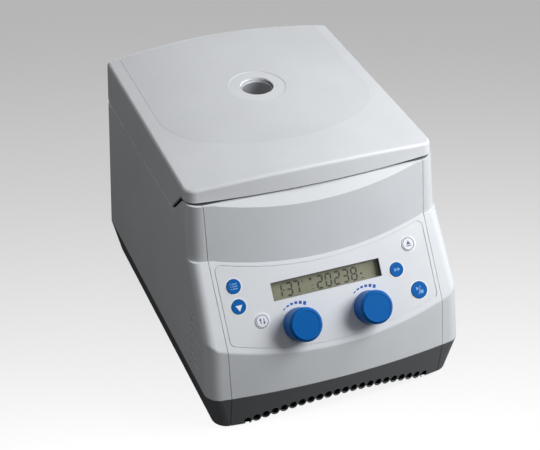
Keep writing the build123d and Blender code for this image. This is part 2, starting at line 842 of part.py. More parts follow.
# ---------------------------------------------------------------- rear panel
def rear_panel(walls):
    half = front_seam_x - seam_gap / 2
    piece = walls & slab_x(-half, half) & slab_y(depth / 4, depth)
    half_x = inlet_width / 2 - inlet_lap_x
    half_z = inlet_height / 2 - inlet_lap_z
    piece -= brick(inlet_x - half_x, inlet_x + half_x, 0, depth, inlet_z - half_z, inlet_z + half_z)
    half_x = rocker_width / 2 + rocker_frame / 2
    half_z = rocker_height / 2 + rocker_frame / 2
    piece -= brick(switch_x - half_x, switch_x + half_x, 0, depth, inlet_z - half_z, inlet_z + half_z)
    for i in range(rear_slot_count):
        z = rear_slot_z + (i - (rear_slot_count - 1) / 2) * rear_slot_pitch
        profile = Plane.XZ * Pos(rear_slot_x, z) * SlotOverall(rear_slot_width, rear_slot_height)
        piece -= extrude(profile, -depth)
    return piece - rear_screw_holes() - slab_z(seam_z(body_rear_y) - rear_top_drop, depth)


def fuse_space(gap, y_far):
    """Room for the fuse drawer in the mains inlet."""
    half_x = fuse_width / 2 - gap
    half_z = fuse_height / 2 - gap
    z = inlet_z - fuse_drop
    y_near = body_rear_y + inlet_flange - fuse_length
    return brick(inlet_x - half_x, inlet_x + half_x, y_near, y_far, z - half_z, z + half_z)


def mains_inlet():
    y = body_rear_y
    face_y = y + inlet_flange
    half_x = inlet_width / 2
    half_z = inlet_height / 2
    flange = brick(inlet_x - half_x, inlet_x + half_x, y, face_y, inlet_z - half_z, inlet_z + half_z)
    flange = fillet(flange.edges().filter_by(Axis.Y), inlet_corner_r)
    half_x -= inlet_lap_x + contact_gap
    half_z -= inlet_lap_z + contact_gap
    body = brick(inlet_x - half_x, inlet_x + half_x, y - inlet_depth, y, inlet_z - half_z, inlet_z + half_z)
    piece = flange + body
    well_z = inlet_z + inlet_well_rise
    well = Pos(inlet_x, face_y - inlet_well_depth / 2, well_z) * Box(
        inlet_well_width, inlet_well_depth, inlet_well_height)
    well = chamfer(well.edges().filter_by(Axis.Y).group_by(Axis.Z)[-1], inlet_well_chamfer)
    piece -= well
    floor_y = face_y - inlet_well_depth
    for dx, dz in inlet_pin_places:
        pin = Box(inlet_pin_width, inlet_pin_length + skin, inlet_pin_height)
        piece += Pos(inlet_x + dx, floor_y + (inlet_pin_length - skin) / 2, well_z + dz) * pin
    return piece - fuse_space(0, depth)


def fuse_drawer():
    face_y = body_rear_y + inlet_flange
    drawer = fuse_space(contact_gap / 2, face_y)
    low = inlet_z - fuse_drop - fuse_height / 2
    half = fuse_notch_width / 2
    notch = brick(inlet_x - half, inlet_x + half, face_y - fuse_notch_depth, depth,
                  low - past, low + fuse_notch_height)
    return drawer - notch


def switch_block(grow, y0, y1):
    half_x = rocker_width / 2 + grow
    half_z = rocker_height / 2 + grow
    return brick(switch_x - half_x, switch_x + half_x, y0, y1, inlet_z - half_z, inlet_z + half_z)


def switch_frame():
    y = body_rear_y
    body = switch_block(rocker_frame / 2 - contact_gap / 2, y - rocker_depth, y)
    piece = body + switch_block(rocker_frame, y, y + inlet_flange)
    piece -= switch_block(0, y - rocker_depth + rocker_floor, depth)
    half = rocker_width / 2 + rocker_pin_seat
    return piece + (cross_rod(switch_x - half, switch_x + half, rocker_pin_y, inlet_z, rocker_pin_r) & body)


def power_rocker():
    """Rocker on its pin, in its off position."""
    half_h = rocker_height / 2 - rocker_gap
    tip = (rocker_stand - rocker_end, half_h - rocker_end)
    waist = (0, half_h - rocker_end - rocker_taper)
    face = make_face(Curve() + [
        ThreePointArc((tip[0], -tip[1]), (tip[0] - rocker_hollow, 0), tip),
        Polyline(tip, waist, (-rocker_nose, 0), (0, -waist[1]), (tip[0], -tip[1]))])
    body = Pos(switch_x, 0, 0) * extrude(Plane.YZ * face, rocker_width / 2 - rocker_gap, both=True)
    body -= cross_rod(switch_x - rocker_width, switch_x + rocker_width, 0, 0, rocker_pin_r + pin_gap)
    return Pos(0, rocker_pin_y, inlet_z) * Rot(-rocker_angle, 0, 0) * body


# ------------------------------------------------------- deck, bowl and motor
def striker_slot():
    half = striker_width / 2 + striker_slot_gap
    half_thickness = striker_thickness / 2
    return brick(-half, half, striker_y - half_thickness - striker_slot_front,
                 striker_y + half_thickness + striker_slot_gap,
                 deck_z - past, deck_z + past)


def top_deck():
    """Plate round the bowl; its front steps up to the ledge under the lid's lip."""
    low = deck_z - deck_thickness
    room = casing(shell_wall + contact_gap, base_seam_z, front_top_z)
    riser_y = notch_top_y + deck_thickness
    plate = room & slab_z(low, deck_z) & slab_y(riser_y - deck_thickness, depth)
    step_z = front_top_z - lid_seam_gap
    riser = room & slab_z(low, step_z) & slab_y(riser_y - deck_thickness, riser_y)
    ledge = room & slab_z(step_z - deck_thickness, step_z) & slab_y(-depth, riser_y)
    ledge -= above_scoop(front_seam_x + seam_gap, contact_gap + shell_wall)
    deck = plate + riser + ledge
    deck -= parting(-notch_gap, lid_seam_gap, front_top_z)
    deck -= cylinder(0, rotor_y, deck_z - past, deck_z + past, bowl_r + bowl_wall + contact_gap)
    deck -= striker_slot()
    rib_y = rotor_y + pan_r + contact_gap
    rib_half = half_width(hinge_z) - shell_wall - tail_rib_end
    rib = brick(-rib_half, rib_half, rib_y, rib_y + tail_rib_thickness, deck_z - deck_thickness,
                hinge_z - knuckle_r - tail_rib_gap)
    flange = cylinder(0, rotor_y, deck_z, deck_z + bowl_wall + contact_gap, bowl_flange_r + contact_gap)
    deck += rib - tower_slots(2 * ear_slot_gap) - flange
    for side in (-1, 1):
        deck -= cylinder(side * tower_x, tower_bolt_y, deck_z - past, deck_z + past, screw_r)
    return deck


def rotor_bowl():
    outer = cylinder(0, rotor_y, bowl_floor_z - bowl_wall, deck_z, bowl_r + bowl_wall)
    outer = fillet(outer.edges().group_by(Axis.Z)[0], bowl_floor_r + bowl_wall)
    inner = cylinder(0, rotor_y, bowl_floor_z, deck_z + past, bowl_r)
    inner = fillet(inner.edges().group_by(Axis.Z)[0], bowl_floor_r)
    flange = cylinder(0, rotor_y, deck_z, deck_z + bowl_wall, bowl_flange_r)
    hole = cylinder(0, rotor_y, bowl_floor_z - past, bowl_floor_z + past, bowl_hole_r)
    return outer + flange - inner - hole


def bowl_gasket():
    z0 = deck_z + bowl_wall
    r = bowl_r + gasket_inset
    ring = tube(0, rotor_y, z0, z0 + gasket_height, r, r + gasket_width)
    return fillet(ring.edges().group_by(Axis.Z)[-1], gasket_edge)


def guard_ring():
    r = bowl_r + bowl_wall + contact_gap
    return tube(0, rotor_y, ring_bottom_z, deck_z - deck_thickness, r, r + ring_wall)


def motor_mounts():
    mounts = Part()
    for i in range(mount_count):
        angle = math.radians(90 + 360 / mount_count * i)
        x, y = mount_circle_r * math.cos(angle), rotor_y + mount_circle_r * math.sin(angle)
        rubber = cylinder(x, y, floor_z, mount_top_z, mount_r)
        waist = Torus(mount_r + mount_waist_r - mount_waist_depth, mount_waist_r)
        mounts += rubber - Pos(x, y, floor_z + mount_height / 2) * waist
    return mounts


def motor_bracket():
    return cylinder(0, rotor_y, mount_top_z, motor_base_z, bracket_r)


def motor():
    body = cylinder(0, rotor_y, motor_base_z, motor_top_z, motor_r)
    body = fillet(body.edges().group_by(Axis.Z)[-1], motor_edge_r)
    body += cylinder(0, rotor_y, motor_top_z - motor_edge_r, motor_top_z + motor_cap_height, motor_cap_r)
    first = motor_base_z + (motor_height - (motor_groove_count - 1) * motor_groove_pitch) / 2
    for i in range(motor_groove_count):
        z = first + i * motor_groove_pitch
        body -= tube(0, rotor_y, z - motor_groove_height / 2, z + motor_groove_height / 2,
                     motor_r - motor_groove_depth, motor_r + past)
    return body - cylinder(0, rotor_y, shaft_bottom_z - shaft_end_gap, depth, shaft_r + running_gap)


def motor_boot():
    """Rubber sleeve between the motor and the bowl."""
    low = motor_top_z + motor_cap_height
    return tube(0, rotor_y, low, bowl_floor_z - bowl_wall, boot_r - boot_wall, boot_r)


def motor_shaft():
    shaft = cylinder(0, rotor_y, shaft_bottom_z, shaft_top_z, shaft_r)
    thread_z = shaft_top_z - rotor_screw_length
    thread = cylinder(0, rotor_y, thread_z, shaft_top_z + past, rotor_screw_r + running_gap)
    return chamfer(shaft.edges().group_by(Axis.Z)[-1], shaft_edge) - thread


def rotor():
    """Fixed-angle rotor: a cone of tube bores between the rim and the hub."""
    rim_in = rotor_r - rotor_rim_width
    profile = make_face(Polyline(
        (0, rotor_bottom_z), (rotor_boss_r, rotor_bottom_z),
        (rotor_r - rotor_skirt_inset, rotor_bottom_z + rotor_skirt_rise),
        (rotor_r, rotor_bottom_z + rotor_wall_rise), (rotor_r, rotor_rim_z), (rim_in, rotor_rim_z),
        (rotor_floor_r, rotor_floor_z), (rotor_hub_r, rotor_floor_z), (rotor_hub_r, rotor_hub_z),
        (0, rotor_hub_z), (0, rotor_bottom_z)))
    body = revolve(Plane.XZ * profile, Axis.Z)
    middle_r = (rim_in + rotor_floor_r) / 2
    middle_z = (rotor_rim_z + rotor_floor_z) / 2
    bore = Pos(middle_r, 0, middle_z) * Rot(0, -tube_tilt, 0) * Cylinder(tube_bore_r, tube_bore_depth)
    bores = Part()
    for i in range(tube_count):
        bores += Rot(0, 0, 360 / tube_count * i) * bore
    body = Pos(0, rotor_y, 0) * (body - bores)
    body -= cylinder(0, rotor_y, rotor_bottom_z - past, shaft_top_z, shaft_r)
    return body - cylinder(0, rotor_y, rotor_bottom_z, rotor_hub_z + past, rotor_hole_r)


def rotor_lid():
    low = rotor_rim_z
    top = rotor_rim_z + rotor_lid_rise
    thick = rotor_lid_thickness
    rim = rotor_r - rotor_lid_inset
    land = rim - rotor_rim_width
    profile = make_face(Polyline(
        (rotor_hole_r, top), (rotor_lid_crown_r, top), (land, low), (rim, low),
        (rim, low + thick), (land, low + thick), (rotor_lid_crown_r, top + thick),
        (rotor_hole_r, top + thick), (rotor_hole_r, top)))
    boss = tube(0, 0, rotor_hub_z, top + thick / 2, rotor_hole_r, rotor_lid_boss_r)
    return Pos(0, rotor_y, 0) * (revolve(Plane.XZ * profile, Axis.Z) + boss)


def rotor_knob():
    """Fluted knob with the screw that holds the rotor and its lid on the shaft."""
    low = rotor_rim_z + rotor_lid_rise + rotor_lid_thickness + running_gap
    head = cylinder(0, rotor_y, low, low + rotor_knob_height, rotor_knob_r)
    head = chamfer(head.edges().group_by(Axis.Z)[-1], rotor_knob_edge)
    ring_r = rotor_knob_r + rotor_knob_flute_r / 2
    for i in range(rotor_knob_flutes):
        angle = math.radians(360 / rotor_knob_flutes * i)
        head -= cylinder(ring_r * math.cos(angle), rotor_y + ring_r * math.sin(angle),
                         low - past, low + past, rotor_knob_flute_r)
    screw_low = shaft_top_z - rotor_screw_length + rotor_screw_float
    return head + cylinder(0, rotor_y, screw_low, low, rotor_screw_r)


# ------------------------------------------------------------------------ lid
def lid_outline(z, inset):
    hw = half_width(z) - inset
    front = lid_front_y + inset + (z - lip_bottom_z) * math.tan(math.radians(lid_front_lean))
    rear = body_rear_y - inset
    edges = Curve() + [
        ThreePointArc((-hw, front), (0, front - lid_front_bulge), (hw, front)),
        Line((hw, front), (hw, rear)),
        ThreePointArc((hw, rear), (0, rear + lid_rear_bulge), (-hw, rear)),
        Line((-hw, rear), (-hw, front))]
    face = make_face(edges)
    corners = face.vertices().sort_by(Axis.Y)
    face = fillet(corners[:2], lid_corner_r - inset)
    corners = face.vertices().sort_by(Axis.Y)
    face = fillet(corners[-2:], lid_rear_corner_r - inset)
    return Pos(0, 0, z) * face


def crown_solid(drop, rise_front=0.0, rise_rear=0.0):
    """Everything under the lid's crowned, forward-sloping top."""
    sections = []
    for y in (-depth, depth):
        t = (y - lid_front_y) / (body_rear_y - lid_front_y)
        edge_z = lid_edge_front_z + t * (lid_edge_rear_z - lid_edge_front_z) - drop
        edge_z += rise_front + t * (rise_rear - rise_front)
        crown = lid_crown_front + t * (lid_crown_rear - lid_crown_front)
        x_edge = half_width(lid_edge_rear_z)
        radius = (x_edge ** 2 + crown ** 2) / (2 * crown)
        x_far = seam_half_width
        z_far = edge_z + crown - (radius - math.sqrt(radius ** 2 - x_far ** 2))
        edges = Curve() + [
            ThreePointArc((-x_far, z_far), (0, edge_z + crown), (x_far, z_far)),
            Polyline((x_far, z_far), (x_far, 0), (-x_far, 0), (-x_far, z_far))]
        sections.append(Plane(origin=(0, y, 0), x_dir=(1, 0, 0), z_dir=(0, -1, 0)) * make_face(edges))
    return loft(sections, ruled=True)


def knuckle_space():
    """What the hinge's swing takes from under the lid's tail."""
    low = brick(-reach / 2, reach / 2, hinge_y, reach / 2, 0, hinge_z)
    return low - cross_rod(-reach, reach, hinge_y, hinge_z, knuckle_r)


def lid_form(inset):
    heights = (lid_seam_front_z - past, lid_edge_rear_z + past)
    column = loft([lid_outline(z, inset) for z in heights], ruled=True)
    return column & crown_solid(inset)


def lid_field():
    """Raised field on the lid's top, fading towards the front."""
    rear = body_rear_y - field_rear_margin
    outline_face = make_face(Curve() + [
        Line((-field_half_width, field_middle_y), (-field_half_width, rear)),
        ThreePointArc((-field_half_width, rear), (0, rear + lid_rear_bulge), (field_half_width, rear)),
        Line((field_half_width, rear), (field_half_width, field_middle_y)),
        EllipticalCenterArc((0, field_middle_y), field_half_width, field_reach, 180, arc_size=180)])
    column = extrude(outline_face, reach)
    return column & crown_solid(0, field_rise_front, field_rise_rear)


def lid_tail():
    """Rolled lower edge at the lid's back, concentric with the hinge."""
    half = half_width(hinge_z) - lid_wall / 2
    roll = cross_rod(-half, half, hinge_y, hinge_z, knuckle_r) - cross_rod(
        -reach, reach, hinge_y, hinge_z, knuckle_r - lid_wall)
    return roll & brick(-reach, reach, hinge_y, depth, 0, hinge_z)


def tower_slots(gap):
    """Room in the lid's tail for the two hinge towers, over the lid's whole swing."""
    slots = Part()
    for side in (-1, 1):
        x0 = side * tower_x - tower_width / 2 - gap
        x1 = x0 + tower_width + 2 * gap
        slots += brick(x0, x1, hinge_y - tower_length, depth, 0, hinge_z + tower_slot_rise)
    return slots


def window_column(r, z0, z1):
    return cylinder(0, rotor_y, z0, z1, r)


def lid_surface_z(y):
    t = (y - lid_front_y) / (body_rear_y - lid_front_y)
    edge_z = lid_edge_front_z + t * (lid_edge_rear_z - lid_edge_front_z)
    return edge_z + lid_crown_front + t * (lid_crown_rear - lid_crown_front)


def lens_low_z():
    return lid_surface_z(rotor_y) - lens_sink - lens_thickness


def soften_top(outer):
    """Round the edge between the lid's top and its sides."""
    rim = [e for e in outer.edges() if e.center().Z > lip_bottom_z and abs(e.tangent_at(0.5).Z) < 0.5]
    return fillet(rim, lid_edge_r)


def lid_cover():
    outer = soften_top(lid_form(0)) + lid_field()
    cover = (outer - lid_form(lid_wall)) & parting(0, 0, lip_bottom_z)
    cover = cover - knuckle_space() + lid_tail() - tower_slots(ear_slot_gap)
    # window: a shallow dish, a ring with a ledge for the lens, and the opening
    top = lid_surface_z(rotor_y)
    low = lens_low_z()
    cover += window_column(window_r + window_neck_wall, low - lens_rim, top - window_ring_drop)
    cover -= window_column(window_dish_r, low, top + past) - crown_solid(window_dish_depth)
    cover -= window_column(window_r, low, depth)
    return cover - window_column(window_r - lens_rim, 0, depth)


def lid_liner():
    """Inner skin of the lid, with the round pan over the bowl and the window's neck."""
    inside = lid_form(lid_wall + liner_gap)
    low = parting(liner_lift, -liner_lift, lip_bottom_z + liner_lift)
    lift = liner_lift + liner_thickness
    high = parting(liner_lift + liner_step, -lift, lip_bottom_z + lift)
    band = (low - high) & inside & slab_y(-depth, liner_rear_y)
    room = window_column(pan_r - pan_wall, pan_z, depth)
    pan_top = seam_z(liner_rear_y) + liner_lift + liner_thickness / 2
    wall = tube(0, rotor_y, pan_z, pan_top, pan_r - pan_wall, pan_r)
    floor = window_column(pan_r, pan_z, pan_z + pan_wall)
    neck_top = lens_low_z() - lens_rim - contact_gap
    neck = tube(0, rotor_y, pan_z, neck_top, window_r, window_r + window_neck_wall)
    return band - room + wall + floor + neck - window_column(window_r, 0, neck_top)


def window_lens():
    lens = window_column(window_r - contact_gap / 2, lens_low_z(), lens_low_z() + lens_thickness)
    return chamfer(lens.edges().group_by(Axis.Z)[-1], lens_edge)


def window_glass():
    """Inner pane, over the rotor, carried in the pan's floor."""
    return window_column(window_r - contact_gap / 2, pan_z, pan_z + pan_wall)


def hinge_ears():
    """Two plates beside each tower, which hang from the liner and hold the pin."""
    ears = Part()
    low = hinge_z - ear_eye_r
    high = hinge_z + ear_eye_r
    foot_z = seam_z(liner_rear_y) + liner_lift + liner_thickness
    web_face = Plane.YZ * Polygon(
        (hinge_y, low), (hinge_y, high), (ear_foot_y, high), (ear_foot_y, foot_z), (liner_rear_y, foot_z),
        align=None)
    web = extrude(web_face, ear_width / 2, both=True)
    ear = web + cross_rod(-ear_width / 2, ear_width / 2, hinge_y, hinge_z, ear_eye_r)
    ear -= cross_rod(-past, past, hinge_y, hinge_z, pin_r)
    offset = tower_width / 2 + ear_gap + ear_width / 2
    for side in (-1, 1):
        for way in (-1, 1):
            ears += Pos(side * tower_x + way * offset, 0, 0) * ear
    return ears


def hinge_pins():
    pins = Part()
    half = tower_width / 2 + ear_gap + ear_width
    for side in (-1, 1):
        pins += cross_rod(side * tower_x - half, side * tower_x + half, hinge_y, hinge_z, pin_r)
    return pins


def hinge_towers():
    half = tower_width / 2
    rear_y = hinge_y + tower_eye_r
    tower = cross_rod(-half, half, hinge_y, hinge_z, tower_eye_r)
    tower += brick(-half, half, hinge_y - tower_eye_r, rear_y, deck_z, hinge_z)
    tower += brick(-half, half, hinge_y - tower_foot_reach, rear_y, deck_z, deck_z + tower_foot_height)
    tower -= cross_rod(-past, past, hinge_y, hinge_z, pin_r + pin_gap)
    tower -= cylinder(0, tower_bolt_y, deck_z - past, deck_z + past, screw_r)
    return Part() + [Pos(side * tower_x, 0, 0) * tower for side in (-1, 1)]


def hinge_screws():
    screws = Part()
    top = deck_z + tower_foot_height
    for x in (-tower_x, tower_x):
        screws += cylinder(x, tower_bolt_y, top, top + screw_head_height, screw_head_r)
        screws += cylinder(x, tower_bolt_y, deck_z - deck_thickness, top, thread_r)
    return screws


# ---------------------------------------------------------------------- latch
def latch_striker():
    """Slotted tongue under the lid's front, which drops through the deck."""
    tongue = Pos(0, striker_y, (striker_bottom_z + lip_bottom_z) / 2) * Box(
        striker_width, striker_thickness, lip_bottom_z - striker_bottom_z)
    tongue -= parting(liner_lift, -liner_lift, lip_bottom_z + liner_lift)
    window = Box(striker_window_width, 2 * striker_thickness, striker_window_height)
    return tongue - Pos(0, striker_y, striker_window_z) * window


def bolt_shape(grow, y0, y1):
    half = bolt_width / 2 + grow
    half_height = bolt_height / 2 + grow
    return brick(-half, half, y0, y1, striker_window_z - half_height, striker_window_z + half_height)


def latch_bolt():
    bolt = bolt_shape(0, bolt_tip_y - bolt_length, bolt_tip_y)
    return chamfer(bolt.faces().sort_by(Axis.Y)[-1].edges(), bolt_edge)


def latch_housing():
    body = brick(-latch_half_width, latch_half_width, latch_front_y, latch_rear_y,
                 latch_low_z, deck_z - deck_thickness)
    return body - bolt_shape(bolt_gap, latch_front_y - past, latch_rear_y + past)


def latch_solenoid():
    coil = brick(-latch_half_width, latch_half_width, latch_front_y, latch_rear_y,
                 latch_low_z - solenoid_height, latch_low_z)
    return fillet(coil.edges().filter_by(Axis.Y), coil_edge_r)


# ---------------------------------------------------------------- electronics
def drive_board():
    z0 = drive_board_z
    board = brick(-drive_board_x, drive_board_x, drive_board_y0, drive_board_y1, z0, z0 + board_thickness)
    for x, y in standoff_places:
        board += cylinder(x, y, floor_z, z0, standoff_r)
    return board


def heat_sink():
    x0 = sink_x - sink_length / 2
    x1 = sink_x + sink_length / 2
    y0 = sink_y - sink_width / 2
    piece = brick(x0, x1, y0, y0 + sink_width, board_top_z, board_top_z + sink_base)
    step = (sink_width - fin_thickness) / (sink_fins - 1)
    for i in range(sink_fins):
        y = y0 + i * step
        piece += brick(x0, x1, y, y + fin_thickness, board_top_z, board_top_z + sink_height)
    return piece


def capacitors():
    cans = Part()
    for i in range(cap_count):
        x = cap_first_x + i * (2 * cap_r + cap_gap)
        can = cylinder(x, sink_y, board_top_z, board_top_z + cap_height, cap_r)
        cans += fillet(can.edges().group_by(Axis.Z)[-1], cap_edge_r)
    return cans


def line_choke():
    ring = Torus(choke_r - choke_section_r, choke_section_r)
    return Pos(0, drive_board_y1 - choke_r - choke_margin, board_top_z + choke_section_r) * ring


def ribbon_cable():
    """Flat cable from the back of the control board down to the drive board."""
    back = -board_depth - board_thickness
    start = on_panel(0, ribbon_s, back).position
    out = on_panel(0, ribbon_s, back - ribbon_stub).position
    end_y = start.Y + ribbon_shift
    route = FilletPolyline((start.Y, start.Z), (out.Y, out.Z), (end_y, out.Z - ribbon_drop),
                           (end_y, board_top_z), radius=ribbon_bend_r)
    cable = extrude(Plane.YZ * trace(route, ribbon_thickness), ribbon_width / 2, both=True)
    behind_board = panel * Pos(0, 0, back - depth / 2) * Box(reach, reach, depth)
    return cable & slab_z(board_top_z, depth) & behind_board


# ------------------------------------------------------------------ rear screws
def rear_screws():
    screws = Part()
    for x, z in rear_screw_places:
        head = Rot(90, 0, 0) * Cylinder(screw_head_r, screw_head_height)
        head = fillet(head.edges().group_by(Axis.Y)[-1], screw_head_edge_r)
        thread = Rot(90, 0, 0) * Cylinder(thread_r, screw_length)
        screws += Pos(x, body_rear_y + screw_head_height / 2, z) * head
        screws += Pos(x, body_rear_y - screw_length / 2, z) * thread
    return screws


def build():
    walls = shell()
    pieces = {
        "base_tray": base_tray(),
        "front_vent_grille": front_grille(),
        "rubber_feet": rubber_feet(),
        "left_side_shell": side_shell(-1, walls),
        "right_side_shell": side_shell(1, walls),
        "front_cover": front_cover(walls),
        "rear_panel": rear_panel(walls),
        "top_deck": top_deck(),
        "casing_screws": casing_screws(),
        "rear_screws": rear_screws(),
        "control_overlay": control_overlay(),
        "display_lens": display_lens(),
        "display_bezel": display_bezel(),
        "display_module": display_module(),
        "control_board": control_board(),
        "control_board_screws": board_screws(),
        "button_switches": button_switches(),
        "knob_encoders": encoders(),
        "time_knob_shaft": encoder_shaft(knob_places[0]),
        "time_knob": knob(knob_places[0]),
        "speed_knob_shaft": encoder_shaft(knob_places[1]),
        "speed_knob": knob(knob_places[1]),
        "mains_inlet": mains_inlet(),
        "fuse_drawer": fuse_drawer(),
        "power_switch_frame": switch_frame(),
        "power_rocker": power_rocker(),
        "drive_board": drive_board(),
        "heat_sink": heat_sink(),
        "capacitors": capacitors(),
        "line_choke": line_choke(),
        "ribbon_cable": ribbon_cable(),
        "rotor_bowl": rotor_bowl(),
        "bowl_gasket": bowl_gasket(),
        "guard_ring": guard_ring(),
        "motor": motor(),
        "motor_bracket": motor_bracket(),
        "motor_mounts": motor_mounts(),
        "motor_boot": motor_boot(),
        "motor_shaft": motor_shaft(),
        "rotor": rotor(),
        "rotor_lid": rotor_lid(),
        "rotor_lid_knob": rotor_knob(),
        "lid_cover": lid_cover(),
        "lid_liner": lid_liner(),
        "lid_window": window_lens(),
        "lid_inner_window": window_glass(),
        "latch_striker": latch_striker(),
        "hinge_ears": hinge_ears(),
        "hinge_pins": hinge_pins(),
        "hinge_towers": hinge_towers(),
        "hinge_screws": hinge_screws(),
        "latch_bolt": latch_bolt(),
        "latch_housing": latch_housing(),
        "latch_solenoid": latch_solenoid(),
    }
    for name, (x, s, r) in button_places.items():
        pieces[name] = button(x, s, r)
    return pieces


os.makedirs("parts", exist_ok=True)
for node, solid in build().items():
    export_step(solid, f"parts/{node}.step")
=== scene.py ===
import json
import math

import bmesh
import bpy
from mathutils import Matrix, Vector
from mathutils.bvhtree import BVHTree


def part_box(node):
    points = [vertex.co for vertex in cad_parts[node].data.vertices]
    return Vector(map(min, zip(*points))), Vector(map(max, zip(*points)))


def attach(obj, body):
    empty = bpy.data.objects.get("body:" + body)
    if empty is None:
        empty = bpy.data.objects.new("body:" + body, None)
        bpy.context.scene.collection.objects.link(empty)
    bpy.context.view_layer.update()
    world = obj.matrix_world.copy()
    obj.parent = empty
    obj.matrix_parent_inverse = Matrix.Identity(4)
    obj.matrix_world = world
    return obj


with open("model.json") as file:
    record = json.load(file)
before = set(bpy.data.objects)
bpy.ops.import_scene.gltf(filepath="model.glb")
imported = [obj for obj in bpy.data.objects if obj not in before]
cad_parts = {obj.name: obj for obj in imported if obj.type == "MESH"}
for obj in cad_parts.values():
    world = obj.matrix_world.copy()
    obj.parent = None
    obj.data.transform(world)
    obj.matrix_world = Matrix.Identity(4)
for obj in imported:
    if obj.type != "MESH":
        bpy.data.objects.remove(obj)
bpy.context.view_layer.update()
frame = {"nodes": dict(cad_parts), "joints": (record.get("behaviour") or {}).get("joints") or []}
scene = bpy.context.scene
mm = 0.001

# Places taken from the frame
joints = {joint["name"]: joint for joint in frame["joints"]}
panel_normal = Vector(joints["time_knob_turn"]["axis"]).normalized()
panel_up = Vector((0, panel_normal.z, -panel_normal.y))
knob_centres = {name: Vector(joints[name + "_turn"]["pos_m"])
                for name in ("time_knob", "speed_knob")}
rotor_axis = Vector(joints["rotor_spin"]["pos_m"])

# Camera
camera_place = Vector((-0.3817, -0.9426, 0.7868))
camera_target = Vector((-0.0113, -0.0126, 0.1069))
camera_roll = math.radians(0.2)
camera_lens = 88.03
camera_sensor = 36

# Studio paper: a pale patch in front of the object that fades to the wall's grey all round.
# Distances are in metres, along the camera's way over the ground and across it.
ground_forward = Vector((camera_target.x - camera_place.x,
                         camera_target.y - camera_place.y, 0)).normalized()
ground_side = Vector((ground_forward.y, -ground_forward.x, 0))
paper_middle = -0.35        # middle of the patch, along ground_forward
paper_side = 0.5            # how much of the distance across counts
paper_flat = 0.18           # palest up to here
paper_reach = 1.08          # grey from here on
paper_curve = 1.9           # power of the fade between the two
paper_grey = 0.47           # brightness of the wall; the patch's is 1
paper_glow = 0.93           # strength of the glow that shows the brightness
paper_lit = 0.1             # share of the brightness that the lamps light, and the shadow darkens
paper_bounce = 0.1          # grey that lights the object in place of the pale paper
paper_rough = 0.9
floor_reach = 8.0

# Lamps: name, place, width, level; soft_lamp says what a level is
ambient_level = 0.132
lamp_aim = (0, 0, 0.12)
lamps = (
    ("key_lamp", (0.621, -0.451, 0.761), 0.6, 1.09),
    ("left_lamp", (-0.836, -0.139, 1.234), 1.2, 0.118),
    ("back_lamp", (0.12, 1.5, 0.43), 0.6, 0.2),
)

# Painted light on the lid's top, which follows its moulded field and the dish about its window:
# painted shade that darkens the field towards its curved edge, and a painted lighter disc in the
# dish
field_half_width = 100 * mm
field_middle_y = 32 * mm
field_reach = 75 * mm
field_fade = 0.4            # share of the way out where the darkening starts
# painted shade: colour share at the field's edge, where the darkening is strongest
field_painted_shade = 0.96
dish_r = 26.2 * mm
# painted light: colour share of the dish's flat disc
dish_painted_light = 1.05

# Printed marks
ink_height = 0.05 * mm
ink_lift = 0.02 * mm        # from the surface to the mark's underside
cap_depth = 1.5 * mm        # down from a button cap's top to its full width
ray_lead = 1.5 * mm         # how far off the rocker a ray towards it starts


# ---------------------------------------------------------------- shader nodes

def fill(tree, socket, value):
    """Give a socket a value, or another node's output."""
    if isinstance(value, bpy.types.NodeSocket):
        tree.links.new(value, socket)
    else:
        socket.default_value = value


def put(tree, kind, inputs=None, **settings):
    """One shader node with its sockets filled."""
    node = tree.nodes.new("ShaderNode" + kind)
    for key, value in settings.items():
        setattr(node, key, value)
    for key, value in (inputs or {}).items():
        fill(tree, node.inputs[key], value)
    return node


def blend_colour(tree, share, first, second):
    """First colour where share is 0, second where it is 1."""
    node = put(tree, "Mix", {"Factor": share}, data_type="RGBA")
    fill(tree, node.inputs[6], first)
    fill(tree, node.inputs[7], second)
    return node.outputs[2]


def spread(tree, value, low, high, start=0.0, end=1.0):
    """Carry a value from the range start to end over to the range low to high."""
    return put(tree, "MapRange", {0: value, 1: start, 2: end, 3: low, 4: high}).outputs[0]


def calc(tree, operation, first, second):
    return put(tree, "Math", {0: first, 1: second}, operation=operation).outputs[0]


def calc_vector(tree, operation, first, second):
    node = put(tree, "VectorMath", {0: first, 1: second}, operation=operation)
    return node.outputs["Value" if operation == "DOT_PRODUCT" else "Vector"]


def length(tree, vector):
    return put(tree, "VectorMath", {0: vector}, operation="LENGTH").outputs["Value"]


def scaled(tree, colour, factor):
    node = put(tree, "VectorMath", {0: colour, "Scale": factor}, operation="SCALE")
    return node.outputs["Vector"]


def object_place(tree):
    return put(tree, "TexCoord").outputs["Object"]


def true_normal(tree):
    return put(tree, "NewGeometry").outputs["Normal"]


def noise(tree, where, scale, detail, roughness=0.5):
    return put(tree, "TexNoise", {"Vector": where, "Scale": scale, "Detail": detail,
                                  "Roughness": roughness}).outputs[0]


def from_axis(tree, where, centre):
    """Offset from centre, and distance from the upright axis through it."""
    offset = calc_vector(tree, "SUBTRACT", where, centre)
    flat = calc_vector(tree, "MULTIPLY", offset, (1, 1, 0))
    return offset, length(tree, flat)


def new_group(name, inputs, outputs):
    """Group with number outputs; an input is a number, or a vector where its default is one."""
    tree = bpy.data.node_groups.new(name, "ShaderNodeTree")
    for label, value in inputs.items():
        kind = "NodeSocketVector" if isinstance(value, tuple) else "NodeSocketFloat"
        socket = tree.interface.new_socket(label, in_out="INPUT", socket_type=kind)
        socket.default_value = value
    for label in outputs:
        tree.interface.new_socket(label, in_out="OUTPUT", socket_type="NodeSocketFloat")
    given = tree.nodes.new("NodeGroupInput").outputs
    out = tree.nodes.new("NodeGroupOutput").inputs
    return tree, given, out


